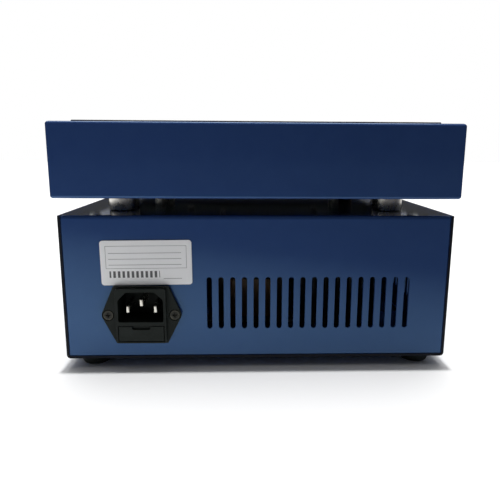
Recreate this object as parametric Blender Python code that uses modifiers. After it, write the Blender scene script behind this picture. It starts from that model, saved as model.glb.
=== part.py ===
"""Desoldering hot plate: a heated aluminium plate in a shallow steel tray, carried
on four posts above a vented steel box with a mains inlet at the rear and a control
panel at the front. Front faces -Y, rear faces +Y, the feet stand on Z = 0."""

import bpy
import bmesh
from math import acos, atan2, cos, hypot, pi, radians, sin
from mathutils import Matrix, Vector

MM = 0.001

# Clearances
seat_gap = 0.3 * MM
hole_gap = 0.3 * MM

# Lower box
base_width = 197.9 * MM
base_depth = 197.0 * MM
base_height = 74.8 * MM
base_sheet = 1.5 * MM
base_bend = 2.0 * MM
bend_steps = 3

# Rubber feet
foot_height = 4.8 * MM
foot_top_radius = 8.3 * MM
foot_bottom_radius = 7.1 * MM
foot_edge = 1.2 * MM
foot_inset_x = 12.4 * MM
foot_inset_y = 11.0 * MM
foot_recess_radius = 4.2 * MM
foot_recess_depth = 2.9 * MM

# Vent slots
slot_width = 2.65 * MM
slot_height = 27.3 * MM
slot_pitch = 5.98 * MM
slot_drop = 45.1 * MM
rear_slots_inset = 22.0 * MM
rear_slots_to_inlet = 34.24 * MM
side_slot_count = 18
slot_sides = 12
slot_cut_depth = 9.0 * MM

# Posts between the box and the tray
post_radius = 8.0 * MM
post_length = 14.4 * MM
post_inset = 28.9 * MM
post_chamfer = 0.6 * MM
post_bolt_radius = 2.5 * MM
post_bolt_head_radius = 4.6 * MM
post_bolt_head_height = 3.0 * MM
post_nut_radius = 4.6 * MM
post_nut_height = 4.0 * MM

# Upper tray
tray_width = 201.3 * MM
tray_height = 36.7 * MM
tray_sheet = 1.2 * MM
tray_bend = 1.5 * MM
tray_lip = 10.0 * MM
tray_rim = 7.9 * MM

# Heater pan inside the tray
pan_sheet = 1.5 * MM
pan_step = 5.0 * MM
pan_rim = 9.0 * MM
pan_slope = 1.5 * MM

# Heating plate, heater and insulation
plate_thickness = 16.0 * MM
plate_proud = 1.0 * MM
plate_side_gap = 1.0 * MM
plate_edge = 0.6 * MM
heater_inset = 5.75 * MM
heater_thickness = 3.0 * MM
mat_inset = 8.75 * MM
standoff_inset = 23.75 * MM
standoff_radius = 5.0 * MM
stud_radius = 2.5 * MM
stud_top_length = 9.0 * MM
stud_bottom_length = 4.5 * MM
probe_radius = 2.0 * MM
probe_depth = 8.0 * MM
probe_tail = 3.0 * MM
probe_x = 22.0 * MM
probe_y = -18.0 * MM

# Heater lead in its sleeve
lead_post_gap = 1.75 * MM
lead_y = -34.0 * MM
lead_radius = 5.0 * MM
lead_shift = 14.0 * MM
lead_points = 12
grommet_flange_radius = 8.2 * MM
grommet_neck_radius = 6.4 * MM
grommet_flange_height = 1.4 * MM

# Small screws
screw_shank_radius = 2.0 * MM
screw_head_radius = 3.6 * MM
screw_head_height = 2.2 * MM
screw_crown_share = 0.6
screw_rim_share = 0.45
foot_screw_length = 7.0 * MM
cover_screw_length = 7.0 * MM
cover_screw_head_height = 1.2 * MM
cover_screw_drop = 9.0 * MM
cover_screw_y = 62.0 * MM
cover_tab_width = 15.0 * MM
cover_tab_drop = 15.0 * MM
cover_tab_inset = 0.1 * MM
cover_hole_reach = 7.5 * MM
tray_screw_inset = 5.0 * MM
tray_screw_y = 45.0 * MM
tray_screw_length = 7.0 * MM

# Mains inlet with fuse drawer
inlet_inset = 40.0 * MM
inlet_drop = 50.5 * MM
flange_top_flat = 27.8 * MM
flange_bottom_flat = 26.2 * MM
flange_height = 29.8 * MM
flange_thickness = 2.5 * MM
ear_spacing = 33.6 * MM
ear_radius = 3.3 * MM
ear_arc_steps = 5
block_width = 25.4 * MM
block_height = 28.4 * MM
block_raise = 2.2 * MM
block_edge = 1.2 * MM
inlet_body_width = 24.8 * MM
inlet_body_height = 27.6 * MM
inlet_body_depth = 18.0 * MM
socket_width = 22.6 * MM
socket_height = 15.5 * MM
socket_chamfer = 4.2 * MM
socket_depth = 17.0 * MM
socket_rise = 4.8 * MM
pin_spacing = 14.0 * MM
pin_width = 2.0 * MM
pin_height = 4.0 * MM
pin_recess = 2.4 * MM
pin_tail = 9.0 * MM
live_pin_drop = 1.8 * MM
earth_pin_rise = 1.6 * MM
pin_tip = 0.6 * MM
drawer_width = 22.6 * MM
drawer_height = 7.8 * MM
drawer_body_width = 22.0 * MM
drawer_body_height = 6.4 * MM
drawer_drop = 9.2 * MM
drawer_face = 1.6 * MM
drawer_depth = 16.0 * MM
finger_notch_width = 9.2 * MM
finger_notch_height = 1.6 * MM
fuse_radius = 2.5 * MM
fuse_length = 20.0 * MM
fuse_cap_length = 5.0 * MM
fuse_tube_radius = 2.25 * MM
fuse_offset = 9.0 * MM
inlet_screw_radius = 1.5 * MM
inlet_screw_head_radius = 2.6 * MM
inlet_screw_head_height = 1.5 * MM
inlet_screw_length = 9.0 * MM

# Rating label
label_width = 45.6 * MM
label_height = 22.9 * MM
label_thickness = 0.2 * MM
label_corner = 1.5 * MM
label_inset = 42.9 * MM
label_above_inlet = 0.4 * MM
label_turn = radians(0.55)

# Front panel: display window and buttons
window_width = 52.0 * MM
window_height = 22.0 * MM
window_drop = 27.0 * MM
window_lip = 2.5 * MM
window_lip_thickness = 1.3 * MM
window_edge = 0.6 * MM
button_count = 4
button_pitch = 15.0 * MM
button_drop = 53.0 * MM
button_radius = 3.8 * MM
button_proud = 1.8 * MM
button_travel = 0.7 * MM
button_crown_share = 0.85
button_rim_share = 0.7
button_flange_radius = 5.0 * MM
button_flange_height = 1.0 * MM
button_stem_radius = 2.0 * MM
button_stem_length = 2.5 * MM

# Control board behind the front panel
board_inset = 10.95 * MM
board_to_switch = 40.0 * MM
board_height = 54.0 * MM
board_thickness = 1.6 * MM
board_drop = 39.0 * MM
board_stud_radius = 2.5 * MM
board_stud_inset = 4.5 * MM
tact_size = 6.0 * MM
tact_height = 3.5 * MM
module_depth_gap = 0.5 * MM
supply_width = 22.4 * MM
supply_height = 22.5 * MM
supply_depth = 7.0 * MM
supply_drop = 2.2 * MM
relay_width = 18.6 * MM
relay_height = 21.6 * MM
relay_depth = 10.5 * MM
relay_from_window = 28.0 * MM

# Power switch
switch_inset = 34.95 * MM
switch_drop = 40.0 * MM
bezel_width = 15.0 * MM
bezel_height = 21.0 * MM
bezel_thickness = 2.0 * MM
bezel_edge = 0.7 * MM
switch_body_width = 12.8 * MM
switch_body_height = 19.2 * MM
switch_body_depth = 14.0 * MM
switch_terminal_width = 5.2 * MM
switch_terminal_length = 6.0 * MM
switch_terminal_thickness = 1.3 * MM
switch_terminal_pitch = 9.6 * MM
pivot_depth = 3.0 * MM
rocker_width = 10.4 * MM
rocker_reach = 8.6 * MM
rocker_front_angle = 40.0
rocker_back_angle = -20.0
rocker_dish = 3.9 * MM
rocker_arc_steps = 4
rocker_tilt = 9.0
rocker_side_gap = 0.35 * MM
trunnion_radius = 1.3 * MM
trunnion_length = 0.9 * MM

# Parts on the floor of the box
transformer_x = 3.0 * MM
transformer_y = 42.0 * MM
core_width = 42.0 * MM
core_height = 35.0 * MM
core_depth = 18.0 * MM
coil_width = 28.0 * MM
coil_height = 23.0 * MM
coil_depth = 32.0 * MM
bracket_width = 58.0 * MM
bracket_depth = 14.0 * MM
bracket_thickness = 1.5 * MM
sink_x = -50.0 * MM
sink_y = 34.0 * MM
sink_width = 46.0 * MM
sink_height = 38.0 * MM
sink_back = 4.0 * MM
sink_fin_length = 16.0 * MM
sink_fin = 1.6 * MM
sink_fin_count = 7
triac_width = 10.4 * MM
triac_height = 15.4 * MM
triac_depth = 4.4 * MM
triac_tab = 1.4 * MM
triac_drop = 6.0 * MM
triac_hole_part = 6.2 * MM
triac_step = 0.2 * MM
block_terminal_width = 30.0 * MM
block_terminal_depth = 20.0 * MM
block_terminal_height = 15.0 * MM
barrier_rise = 4.0 * MM
barrier_width = 2.0 * MM
barrier_inset = 0.2 * MM

# Heights and planes that follow from the sizes above
base_bottom = foot_height + seat_gap
base_top = base_bottom + base_height
floor_top = base_bottom + base_sheet
base_ceiling = base_top - base_sheet
pan_under = base_top + seat_gap + post_length + seat_gap
pan_top = pan_under + pan_sheet
tray_bottom = pan_under - pan_step - seat_gap - tray_sheet
tray_top = tray_bottom + tray_height
plate_top = tray_top + plate_proud
plate_under = plate_top - plate_thickness
heater_top = plate_under - seat_gap
heater_under = heater_top - heater_thickness
mat_top = heater_under - seat_gap
mat_under = pan_top + seat_gap
pan_width = tray_width - 2 * tray_sheet - 2 * seat_gap
rim_opening = tray_width - 2 * tray_rim
plate_width = rim_opening - 2 * plate_side_gap
heater_width = plate_width - 2 * heater_inset
mat_width = plate_width - 2 * mat_inset
post_pitch = tray_width - 2 * post_inset
standoff_pitch = post_pitch - 2 * standoff_inset
tray_screw_x = tray_width / 2 - tray_screw_inset
lead_x = lead_post_gap - post_pitch / 2
rear_face = base_depth / 2
front_face = -base_depth / 2
front_inside = front_face + base_sheet
cover_width = base_width - 2 * base_sheet - 2 * seat_gap
slot_z = base_top - slot_drop
inlet_x = base_width / 2 - inlet_inset
label_x = base_width / 2 - label_inset
switch_x = base_width / 2 - switch_inset
board_left = board_inset - base_width / 2
board_width = switch_x - board_to_switch - board_left
window_x = board_left + board_width / 2
rear_slots_left = rear_slots_inset - base_width / 2
rear_slots_span = inlet_x - rear_slots_to_inlet - rear_slots_left
rear_slot_count = 1 + round(rear_slots_span / slot_pitch)
inlet_z = base_top - inlet_drop
inlet_seat = rear_face + seat_gap
flange_front = inlet_seat + flange_thickness
block_front = flange_front + block_raise
socket_z = inlet_z + socket_rise
socket_floor = block_front - socket_depth
inlet_back = inlet_seat - inlet_body_depth
drawer_z = inlet_z - drawer_drop
label_z = inlet_z + flange_height / 2 + label_above_inlet + label_height / 2
window_z = base_top - window_drop
button_z = base_top - button_drop
board_z = base_top - board_drop
switch_z = base_top - switch_drop
button_back = front_inside + seat_gap + button_flange_height + button_stem_length
tact_front = button_back + button_travel + seat_gap
board_front = tact_front + tact_height
bezel_front = front_face - seat_gap - bezel_thickness
pivot_y = bezel_front + pivot_depth
terminal_top = floor_top + seat_gap + block_terminal_height

# The outermost points in Y, for an origin in the middle of the whole part
rocker_high = radians(rocker_front_angle + rocker_tilt)
front_reach = rocker_reach * sin(rocker_high) - pivot_y
rear_reach = block_front
centre_shift = (front_reach - rear_reach) / 2


# Scene, collections and materials
for old in list(bpy.data.objects):
    bpy.data.objects.remove(old, do_unlink=True)

parts = bpy.data.collections.new("desoldering_hot_plate")
cutters = bpy.data.collections.new("cutters")
bpy.context.scene.collection.children.link(parts)
bpy.context.scene.collection.children.link(cutters)

stand = bpy.data.objects.new("stand", None)
stand.location = (0, centre_shift, 0)
parts.objects.link(stand)


def paint(name, colour, metallic, roughness):
    material = bpy.data.materials.new(name)
    material.use_nodes = True
    shader = material.node_tree.nodes["Principled BSDF"]
    shader.inputs["Base Color"].default_value = (*colour, 1.0)
    shader.inputs["Metallic"].default_value = metallic
    shader.inputs["Roughness"].default_value = roughness
    return material


# One look for each kind of material: colour, metallic value and roughness
looks = {
    "blue_paint": ((0.022, 0.045, 0.125), 0.0, 0.32),
    "rubber": ((0.012, 0.013, 0.012), 0.0, 0.8),
    "zinc": ((0.55, 0.56, 0.55), 1.0, 0.35),
    "chrome": ((0.72, 0.73, 0.74), 1.0, 0.12),
    "dark_aluminium": ((0.09, 0.09, 0.09), 0.7, 0.45),
    "pan_steel": ((0.42, 0.42, 0.41), 1.0, 0.4),
    "mineral_mat": ((0.72, 0.70, 0.64), 0.0, 0.95),
    "mica": ((0.45, 0.38, 0.27), 0.0, 0.6),
    "sleeve": ((0.055, 0.028, 0.014), 0.0, 0.85),
    "black_plastic": ((0.010, 0.010, 0.011), 0.0, 0.42),
    "brass": ((0.72, 0.56, 0.28), 1.0, 0.3),
    "glass": ((0.80, 0.86, 0.85), 0.0, 0.05),
    "label": ((0.70, 0.71, 0.72), 0.2, 0.4),
    "window": ((0.10, 0.006, 0.006), 0.0, 0.1),
    "button": ((0.30, 0.31, 0.32), 0.0, 0.5),
    "board": ((0.02, 0.11, 0.045), 0.0, 0.45),
    "core": ((0.11, 0.10, 0.10), 0.6, 0.5),
    "ceramic": ((0.80, 0.78, 0.72), 0.0, 0.35),
}


def finish(obj, look):
    """Give the object a material of its own and a place under the stand."""
    colour, metallic, roughness = looks[look]
    obj.data.materials.clear()
    obj.data.materials.append(paint(obj.name + "_" + look, colour, metallic, roughness))
    obj.parent = stand
    return obj


# Mesh helpers
def boxes_mesh(name, boxes):
    """Several boxes in one mesh, for a joined set of small forms or for cutting."""
    mesh_data = bmesh.new()
    for low, high in boxes:
        size = Vector(high) - Vector(low)
        middle = (Vector(high) + Vector(low)) / 2
        place = Matrix.Translation(middle) @ Matrix.Diagonal((*size, 1.0))
        bmesh.ops.create_cube(mesh_data, size=1.0, matrix=place)
    mesh = bpy.data.meshes.new(name)
    mesh_data.to_mesh(mesh)
    mesh_data.free()
    return mesh


def box_mesh(name, low, high):
    """A single box between two corners."""
    return boxes_mesh(name, [(low, high)])


def rods_mesh(name, rods, sides):
    """Cylinders in one mesh; each rod is a start point, an end point and a radius."""
    mesh_data = bmesh.new()
    for start, end, radius in rods:
        start = Vector(start)
        end = Vector(end)
        along = end - start
        turn = Vector((0, 0, 1)).rotation_difference(along).to_matrix().to_4x4()
        place = Matrix.Translation((start + end) / 2) @ turn
        bmesh.ops.create_cone(mesh_data, cap_ends=True, segments=sides, radius1=radius,
                              radius2=radius, depth=along.length, matrix=place)
    mesh = bpy.data.meshes.new(name)
    mesh_data.to_mesh(mesh)
    mesh_data.free()
    return mesh


def outline_mesh(name, points, low, high, plane):
    """A flat outline given thickness from low to high; plane XZ extrudes along Y."""
    curve = bpy.data.curves.new(name, "CURVE")
    curve.dimensions = "2D"
    curve.fill_mode = "BOTH"
    curve.extrude = (high - low) / 2
    spline = curve.splines.new("POLY")
    spline.points.add(len(points) - 1)
    for point, (across, up) in zip(spline.points, points):
        point.co = (across, up, 0, 1)
    spline.use_cyclic_u = True
    carrier = bpy.data.objects.new(name, curve)
    bpy.context.scene.collection.objects.link(carrier)
    bpy.context.view_layer.update()
    graph = bpy.context.evaluated_depsgraph_get()
    mesh = bpy.data.meshes.new_from_object(carrier.evaluated_get(graph))
    bpy.data.objects.remove(carrier, do_unlink=True)
    turns = {
        "XZ": Matrix.Rotation(pi / 2, 4, "X"),
        "YZ": Matrix.Rotation(pi / 2, 4, "Z") @ Matrix.Rotation(pi / 2, 4, "X"),
    }
    middle = (low + high) / 2
    shifts = {"XZ": (0, middle, 0), "YZ": (middle, 0, 0)}
    mesh.transform(Matrix.Translation(shifts[plane]) @ turns[plane])
    mesh_data = bmesh.new()
    mesh_data.from_mesh(mesh)
    bmesh.ops.remove_doubles(mesh_data, verts=mesh_data.verts, dist=0.00001)
    bmesh.ops.recalc_face_normals(mesh_data, faces=mesh_data.faces)
    mesh_data.to_mesh(mesh)
    mesh_data.free()
    return mesh


def add_part(name, mesh, look, place=(0, 0, 0)):
    obj = bpy.data.objects.new(name, mesh)
    parts.objects.link(obj)
    obj.location = place
    return finish(obj, look)


def add_cutter(name, mesh, place=(0, 0, 0)):
    cutter = bpy.data.objects.new(name, mesh)
    cutters.objects.link(cutter)
    cutter.location = place
    cutter.parent = stand
    cutter.hide_render = True
    cutter.display_type = "WIRE"
    return cutter


def combine(obj, other, operation):
    """Cut the other object out of this one, or join it on."""
    step = obj.modifiers.new(other.name, "BOOLEAN")
    step.operation = operation
    step.solver = "EXACT"
    step.object = other
    return obj


def cut(obj, name, mesh):
    return combine(obj, add_cutter(name, mesh), "DIFFERENCE")


def join(obj, name, mesh):
    return combine(obj, add_cutter(name, mesh), "UNION")


def round_edges(obj, width, steps=2, angle=radians(40)):
    bevel = obj.modifiers.new("rounded edges", "BEVEL")
    bevel.width = width
    bevel.segments = steps
    bevel.limit_method = "ANGLE"
    bevel.angle_limit = angle
    return obj


def turned(name, profile, look, place, steps=16, closed=False, up=(0, 0, 1)):
    """Turn a profile of (radius, height) points, top to bottom on its outer side."""
    mesh = bpy.data.meshes.new(name)
    mesh_data = bmesh.new()
    points = [mesh_data.verts.new((radius, 0, height)) for radius, height in profile]
    for first, second in zip(points, points[1:]):
        mesh_data.edges.new((first, second))
    if closed:
        mesh_data.edges.new((points[-1], points[0]))
    mesh_data.to_mesh(mesh)
    mesh_data.free()
    obj = add_part(name, mesh, look, place)
    obj.rotation_mode = "QUATERNION"
    obj.rotation_quaternion = Vector((0, 0, 1)).rotation_difference(Vector(up))
    screw = obj.modifiers.new("turning", "SCREW")
    screw.angle = 2 * pi
    screw.steps = steps
    screw.render_steps = steps
    screw.use_merge_vertices = True
    screw.merge_threshold = 0.00001
    screw.use_smooth_shade = False
    return obj


def folded_sheet(name, low, high, open_sides, bend, thickness, look, lips=None):
    """A box of sheet metal, open at some sides, with rounded bends.

    open_sides holds the outward directions that are left open. lips gives a side
    that is opened only inside a border of that width, such as a rim."""
    mesh = box_mesh(name, low, high)
    mesh_data = bmesh.new()
    mesh_data.from_mesh(mesh)
    lips = lips or {}
    for direction, width in lips.items():
        side = [face for face in mesh_data.faces if face.normal.dot(Vector(direction)) > 0.99]
        bmesh.ops.inset_region(mesh_data, faces=side, thickness=width)
        bmesh.ops.delete(mesh_data, geom=side, context="FACES")
    gone = [face for face in mesh_data.faces
            if any(face.normal.dot(Vector(side)) > 0.99 for side in open_sides)]
    bmesh.ops.delete(mesh_data, geom=gone, context="FACES")
    folds = [edge for edge in mesh_data.edges
             if edge.is_manifold and edge.calc_face_angle() > radians(45)]
    if lips:
        folds = [edge for edge in folds if abs(edge.verts[0].co.z - edge.verts[1].co.z) < bend]
    bmesh.ops.bevel(mesh_data, geom=folds, offset=bend, offset_type="OFFSET",
                    segments=bend_steps, profile=0.5, affect="EDGES")
    mesh_data.to_mesh(mesh)
    mesh_data.free()
    obj = add_part(name, mesh, look)
    wall = obj.modifiers.new("sheet", "SOLIDIFY")
    wall.thickness = thickness
    wall.offset = -1.0
    wall.use_even_offset = True
    return obj


def slots_mesh(name, centres, across):
    """Upright slots with round ends, cut along Y or X through a wall."""
    radius = slot_width / 2 / cos(pi / slot_sides)
    stretch = (slot_height - slot_width) / 2
    lay_down = Matrix.Rotation(pi / 2, 4, "X") @ Matrix.Rotation(pi / slot_sides, 4, "Z")
    if across == "X":
        lay_down = Matrix.Rotation(pi / 2, 4, "Z") @ lay_down
    mesh_data = bmesh.new()
    for centre in centres:
        made = bmesh.ops.create_cone(mesh_data, cap_ends=True, segments=slot_sides,
                                     radius1=radius, radius2=radius, depth=slot_cut_depth,
                                     matrix=lay_down)
        for vert in made["verts"]:
            vert.co.z += stretch if vert.co.z > 0 else -stretch
            vert.co += Vector(centre)
    mesh = bpy.data.meshes.new(name)
    mesh_data.to_mesh(mesh)
    mesh_data.free()
    return mesh


def screw_profile(head_radius, head_height, shank_radius, length):
    """A domed pan head that stands on Z = 0 with its shank below."""
    return [
        (0, head_height),
        (head_radius * screw_crown_share, head_height),
        (head_radius, head_height * screw_rim_share),
        (head_radius, 0),
        (shank_radius, 0),
        (shank_radius, -length),
        (0, -length),
    ]


def four_places(reach_x, reach_y):
    """The four corners of a rectangle with the names of their places."""
    return [
        ("front_left", -reach_x, -reach_y),
        ("front_right", reach_x, -reach_y),
        ("rear_left", -reach_x, reach_y),
        ("rear_right", reach_x, reach_y),
    ]


foot_places = four_places(base_width / 2 - foot_inset_x, base_depth / 2 - foot_inset_y)
post_places = four_places(post_pitch / 2, post_pitch / 2)
standoff_places = four_places(standoff_pitch / 2, standoff_pitch / 2)
cover_screw_places = four_places(base_width / 2, cover_screw_y)
tray_screw_places = four_places(tray_screw_x, tray_screw_y)


# Chassis of the box: one sheet folded into floor and two sides with vent slots
def build_chassis():
    low = (-base_width / 2, front_face, base_bottom)
    high = (base_width / 2, rear_face, base_top)
    open_sides = [(0, 0, 1), (0, 1, 0), (0, -1, 0)]
    chassis = folded_sheet("base_chassis", low, high, open_sides, base_bend, base_sheet, "blue_paint")
    first = -(side_slot_count - 1) / 2 * slot_pitch
    centres = []
    for side in (-1, 1):
        wall = side * (base_width - base_sheet) / 2
        centres += [(wall, first + number * slot_pitch, slot_z) for number in range(side_slot_count)]
    cut(chassis, "side_slots", slots_mesh("side_slots", centres, "X"))
    holes = [((x, y, base_bottom - base_sheet), (x, y, floor_top + base_sheet),
              screw_shank_radius + hole_gap) for _, x, y in foot_places]
    screw_z = base_top - cover_screw_drop
    for _, x, y in cover_screw_places:
        side = 1 if x > 0 else -1
        holes.append(((x - side * 2 * base_sheet, y, screw_z), (x + side * base_sheet, y, screw_z),
                      screw_shank_radius + hole_gap))
    cut(chassis, "chassis_holes", rods_mesh("chassis_holes", holes, 12))
    return chassis


# Cover of the box: one sheet folded into front, top and rear, with screw tabs
def build_cover():
    low = (-cover_width / 2, front_face, floor_top + seat_gap)
    high = (cover_width / 2, rear_face, base_top)
    open_sides = [(0, 0, -1), (1, 0, 0), (-1, 0, 0)]
    cover = folded_sheet("base_cover", low, high, open_sides, base_bend, base_sheet, "blue_paint")
    tabs = []
    for _, x, y in cover_screw_places:
        side = 1 if x > 0 else -1
        outer = side * (cover_width / 2 - cover_tab_inset)
        inner = outer - side * base_sheet
        tabs.append(((min(outer, inner), y - cover_tab_width / 2, base_top - cover_tab_drop),
                     (max(outer, inner), y + cover_tab_width / 2, base_top - base_sheet / 2)))
    join(cover, "cover_tabs", boxes_mesh("cover_tabs", tabs))
    studs = []
    for _, x, z in four_places(board_width / 2 - board_stud_inset, board_height / 2 - board_stud_inset):
        studs.append(((window_x + x, front_inside - base_sheet / 2, board_z + z),
                      (window_x + x, board_front - seat_gap, board_z + z), board_stud_radius))
    join(cover, "board_studs", rods_mesh("board_studs", studs, 10))
    wall = rear_face - base_sheet / 2
    centres = [(rear_slots_left + number * slot_pitch, wall, slot_z)
               for number in range(rear_slot_count)]
    cut(cover, "rear_slots", slots_mesh("rear_slots", centres, "Y"))
    side = inlet_body_width / 2 + hole_gap
    rise = inlet_body_height / 2 + hole_gap
    front_out = front_face - base_sheet
    front_in = front_inside + base_sheet
    window_side = window_width / 2 + hole_gap
    window_rise = window_height / 2 + hole_gap
    switch_side = switch_body_width / 2 + hole_gap
    switch_rise = switch_body_height / 2 + hole_gap
    openings = [
        ((inlet_x - side, rear_face - 2 * base_sheet, inlet_z - rise),
         (inlet_x + side, rear_face + base_sheet, inlet_z + rise)),
        ((window_x - window_side, front_out, window_z - window_rise),
         (window_x + window_side, front_in, window_z + window_rise)),
        ((switch_x - switch_side, front_out, switch_z - switch_rise),
         (switch_x + switch_side, front_in, switch_z + switch_rise)),
    ]
    cut(cover, "cover_openings", boxes_mesh("cover_openings", openings))
    holes = []
    for side in (-1, 1):
        x = inlet_x + side * ear_spacing / 2
        holes.append(((x, rear_face - 2 * base_sheet, inlet_z), (x, rear_face + base_sheet, inlet_z),
                      inlet_screw_radius + hole_gap))
    for x in button_places():
        holes.append(((x, front_out, button_z), (x, front_in, button_z), button_radius + hole_gap))
    screw_z = base_top - cover_screw_drop
    for _, x, y in cover_screw_places:
        side = 1 if x > 0 else -1
        holes.append(((x - side * cover_hole_reach, y, screw_z), (x, y, screw_z),
                      screw_shank_radius + hole_gap))
    top_low = base_ceiling - base_sheet
    top_high = base_top + base_sheet
    for _, x, y in post_places:
        holes.append(((x, y, top_low), (x, y, top_high), post_bolt_radius + hole_gap))
    holes.append(((lead_x, lead_y, top_low), (lead_x, lead_y, top_high), grommet_neck_radius + hole_gap))
    cut(cover, "cover_holes", rods_mesh("cover_holes", holes, 14))
    return cover


# Feet: tapered rubber with a recess for the screw head
def build_feet():
    recess_top = foot_recess_depth
    hole = screw_shank_radius + hole_gap
    profile = [
        (foot_top_radius - foot_edge / 3, foot_height),
        (foot_top_radius, foot_height - foot_edge / 2),
        (foot_bottom_radius, foot_edge),
        (foot_bottom_radius - foot_edge, 0),
        (foot_recess_radius, 0),
        (foot_recess_radius, recess_top),
        (hole, recess_top),
        (hole, foot_height),
    ]
    head_seat = recess_top - seat_gap
    for place, x, y in foot_places:
        turned("foot_" + place, profile, "rubber", (x, y, 0), steps=18, closed=True)
        shape = screw_profile(screw_head_radius, screw_head_height, screw_shank_radius,
                              foot_screw_length + seat_gap)
        turned("foot_screw_" + place, shape, "zinc", (x, y, head_seat), steps=10, up=(0, 0, -1))


# Screws that hold the cover to the sides of the chassis
def build_cover_screws():
    shape = screw_profile(screw_head_radius, cover_screw_head_height, screw_shank_radius,
                          cover_screw_length)
    for place, x, y in cover_screw_places:
        side = 1 if x > 0 else -1
        turned("cover_screw_" + place, shape, "zinc",
               (x + side * seat_gap, y, base_top - cover_screw_drop), steps=10, up=(side, 0, 0))


# Posts: bright round spacers, each on a long bolt from inside the box
def build_posts():
    bore = post_bolt_radius + hole_gap
    profile = [
        (post_radius - post_chamfer, post_length),
        (post_radius, post_length - post_chamfer),
        (post_radius, post_chamfer),
        (post_radius - post_chamfer, 0),
        (bore, 0),
        (bore, post_length),
    ]
    bolt_seat = base_ceiling - seat_gap
    bolt_length = pan_top + post_nut_height - bolt_seat
    shape = screw_profile(post_bolt_head_radius, post_bolt_head_height, post_bolt_radius, bolt_length)
    for place, x, y in post_places:
        turned("post_" + place, profile, "chrome", (x, y, base_top + seat_gap), steps=20, closed=True)
        turned("post_bolt_" + place, shape, "zinc", (x, y, bolt_seat), steps=10, up=(0, 0, -1))


# Tray: four walls with a folded rim round the plate and a folded lower lip
def build_tray():
    half = tray_width / 2
    tray = folded_sheet("tray_shell", (-half, -half, tray_bottom), (half, half, tray_top), [],
                        tray_bend, tray_sheet, "blue_paint",
                        lips={(0, 0, 1): tray_rim, (0, 0, -1): tray_lip})
    holes = [((x, y, tray_bottom - tray_sheet), (x, y, tray_bottom + 2 * tray_sheet),
              screw_shank_radius + hole_gap) for _, x, y in tray_screw_places]
    cut(tray, "tray_holes", rods_mesh("tray_holes", holes, 12))
    return tray


def build_tray_screws():
    shape = screw_profile(screw_head_radius, screw_head_height, screw_shank_radius, tray_screw_length)
    for place, x, y in tray_screw_places:
        turned("tray_screw_" + place, shape, "zinc", (x, y, tray_bottom - seat_gap), steps=10,
               up=(0, 0, -1))


# Pan: its rim lies on the tray's lip and its raised middle lies on the posts
def build_pan():
    half = pan_width / 2
    mesh_data = bmesh.new()
    level = Matrix.Translation((0, 0, pan_top - pan_step))
    bmesh.ops.create_grid(mesh_data, x_segments=1, y_segments=1, size=half, matrix=level)
    middle = list(mesh_data.faces)
    bmesh.ops.inset_region(mesh_data, faces=middle, thickness=pan_rim)
    bmesh.ops.inset_region(mesh_data, faces=middle, thickness=pan_slope, depth=pan_step)
    mesh = bpy.data.meshes.new("heater_pan")
    mesh_data.to_mesh(mesh)
    mesh_data.free()
    pan = add_part("heater_pan", mesh, "pan_steel")
    wall = pan.modifiers.new("sheet", "SOLIDIFY")
    wall.thickness = pan_sheet
    wall.offset = -1.0
    wall.use_even_offset = True
    nuts = [((x, y, pan_top - pan_sheet / 2), (x, y, pan_top + post_nut_height), post_nut_radius)
            for _, x, y in post_places]
    join(pan, "pan_nuts", rods_mesh("pan_nuts", nuts, 6))
    low = pan_under - pan_sheet
    high = pan_top + post_nut_height + pan_sheet
    rim_low = low - pan_step
    holes = [((x, y, low), (x, y, high), post_bolt_radius + hole_gap) for _, x, y in post_places]
    holes += [((x, y, low), (x, y, high), stud_radius + hole_gap) for _, x, y in standoff_places]
    holes += [((x, y, rim_low), (x, y, high), screw_shank_radius + hole_gap)
              for _, x, y in tray_screw_places]
    holes.append(((lead_x, lead_y, low), (lead_x, lead_y, high), lead_radius + hole_gap))
    holes.append(((probe_x, probe_y, low), (probe_x, probe_y, high), probe_radius + hole_gap))
    cut(pan, "pan_holes", rods_mesh("pan_holes", holes, 10))
    return pan


# Insulation mat and heater element between the pan and the plate
def build_mat_and_heater():
    half = mat_width / 2
    mat = add_part("insulation_mat", box_mesh("insulation_mat", (-half, -half, mat_under),
                                              (half, half, mat_top)), "mineral_mat")
    low = mat_under - pan_sheet
    high = heater_top + pan_sheet
    round_holes = [((x, y, low), (x, y, high), standoff_radius + hole_gap) for _, x, y in standoff_places]
    round_holes.append(((probe_x, probe_y, low), (probe_x, probe_y, high), probe_radius + hole_gap))
    nut_holes = [((x, y, low), (x, y, high), post_nut_radius + hole_gap) for _, x, y in post_places]
    lead_hole = [((lead_x, lead_y, low), (lead_x, lead_y, high), lead_radius + hole_gap)]
    cut(mat, "mat_holes", rods_mesh("mat_holes", round_holes + nut_holes + lead_hole, 10))
    half = heater_width / 2
    heater = add_part("heater_element", box_mesh("heater_element", (-half, -half, heater_under),
                                                 (half, half, heater_top)), "mica")
    cut(heater, "heater_holes", rods_mesh("heater_holes", round_holes, 10))


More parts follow.
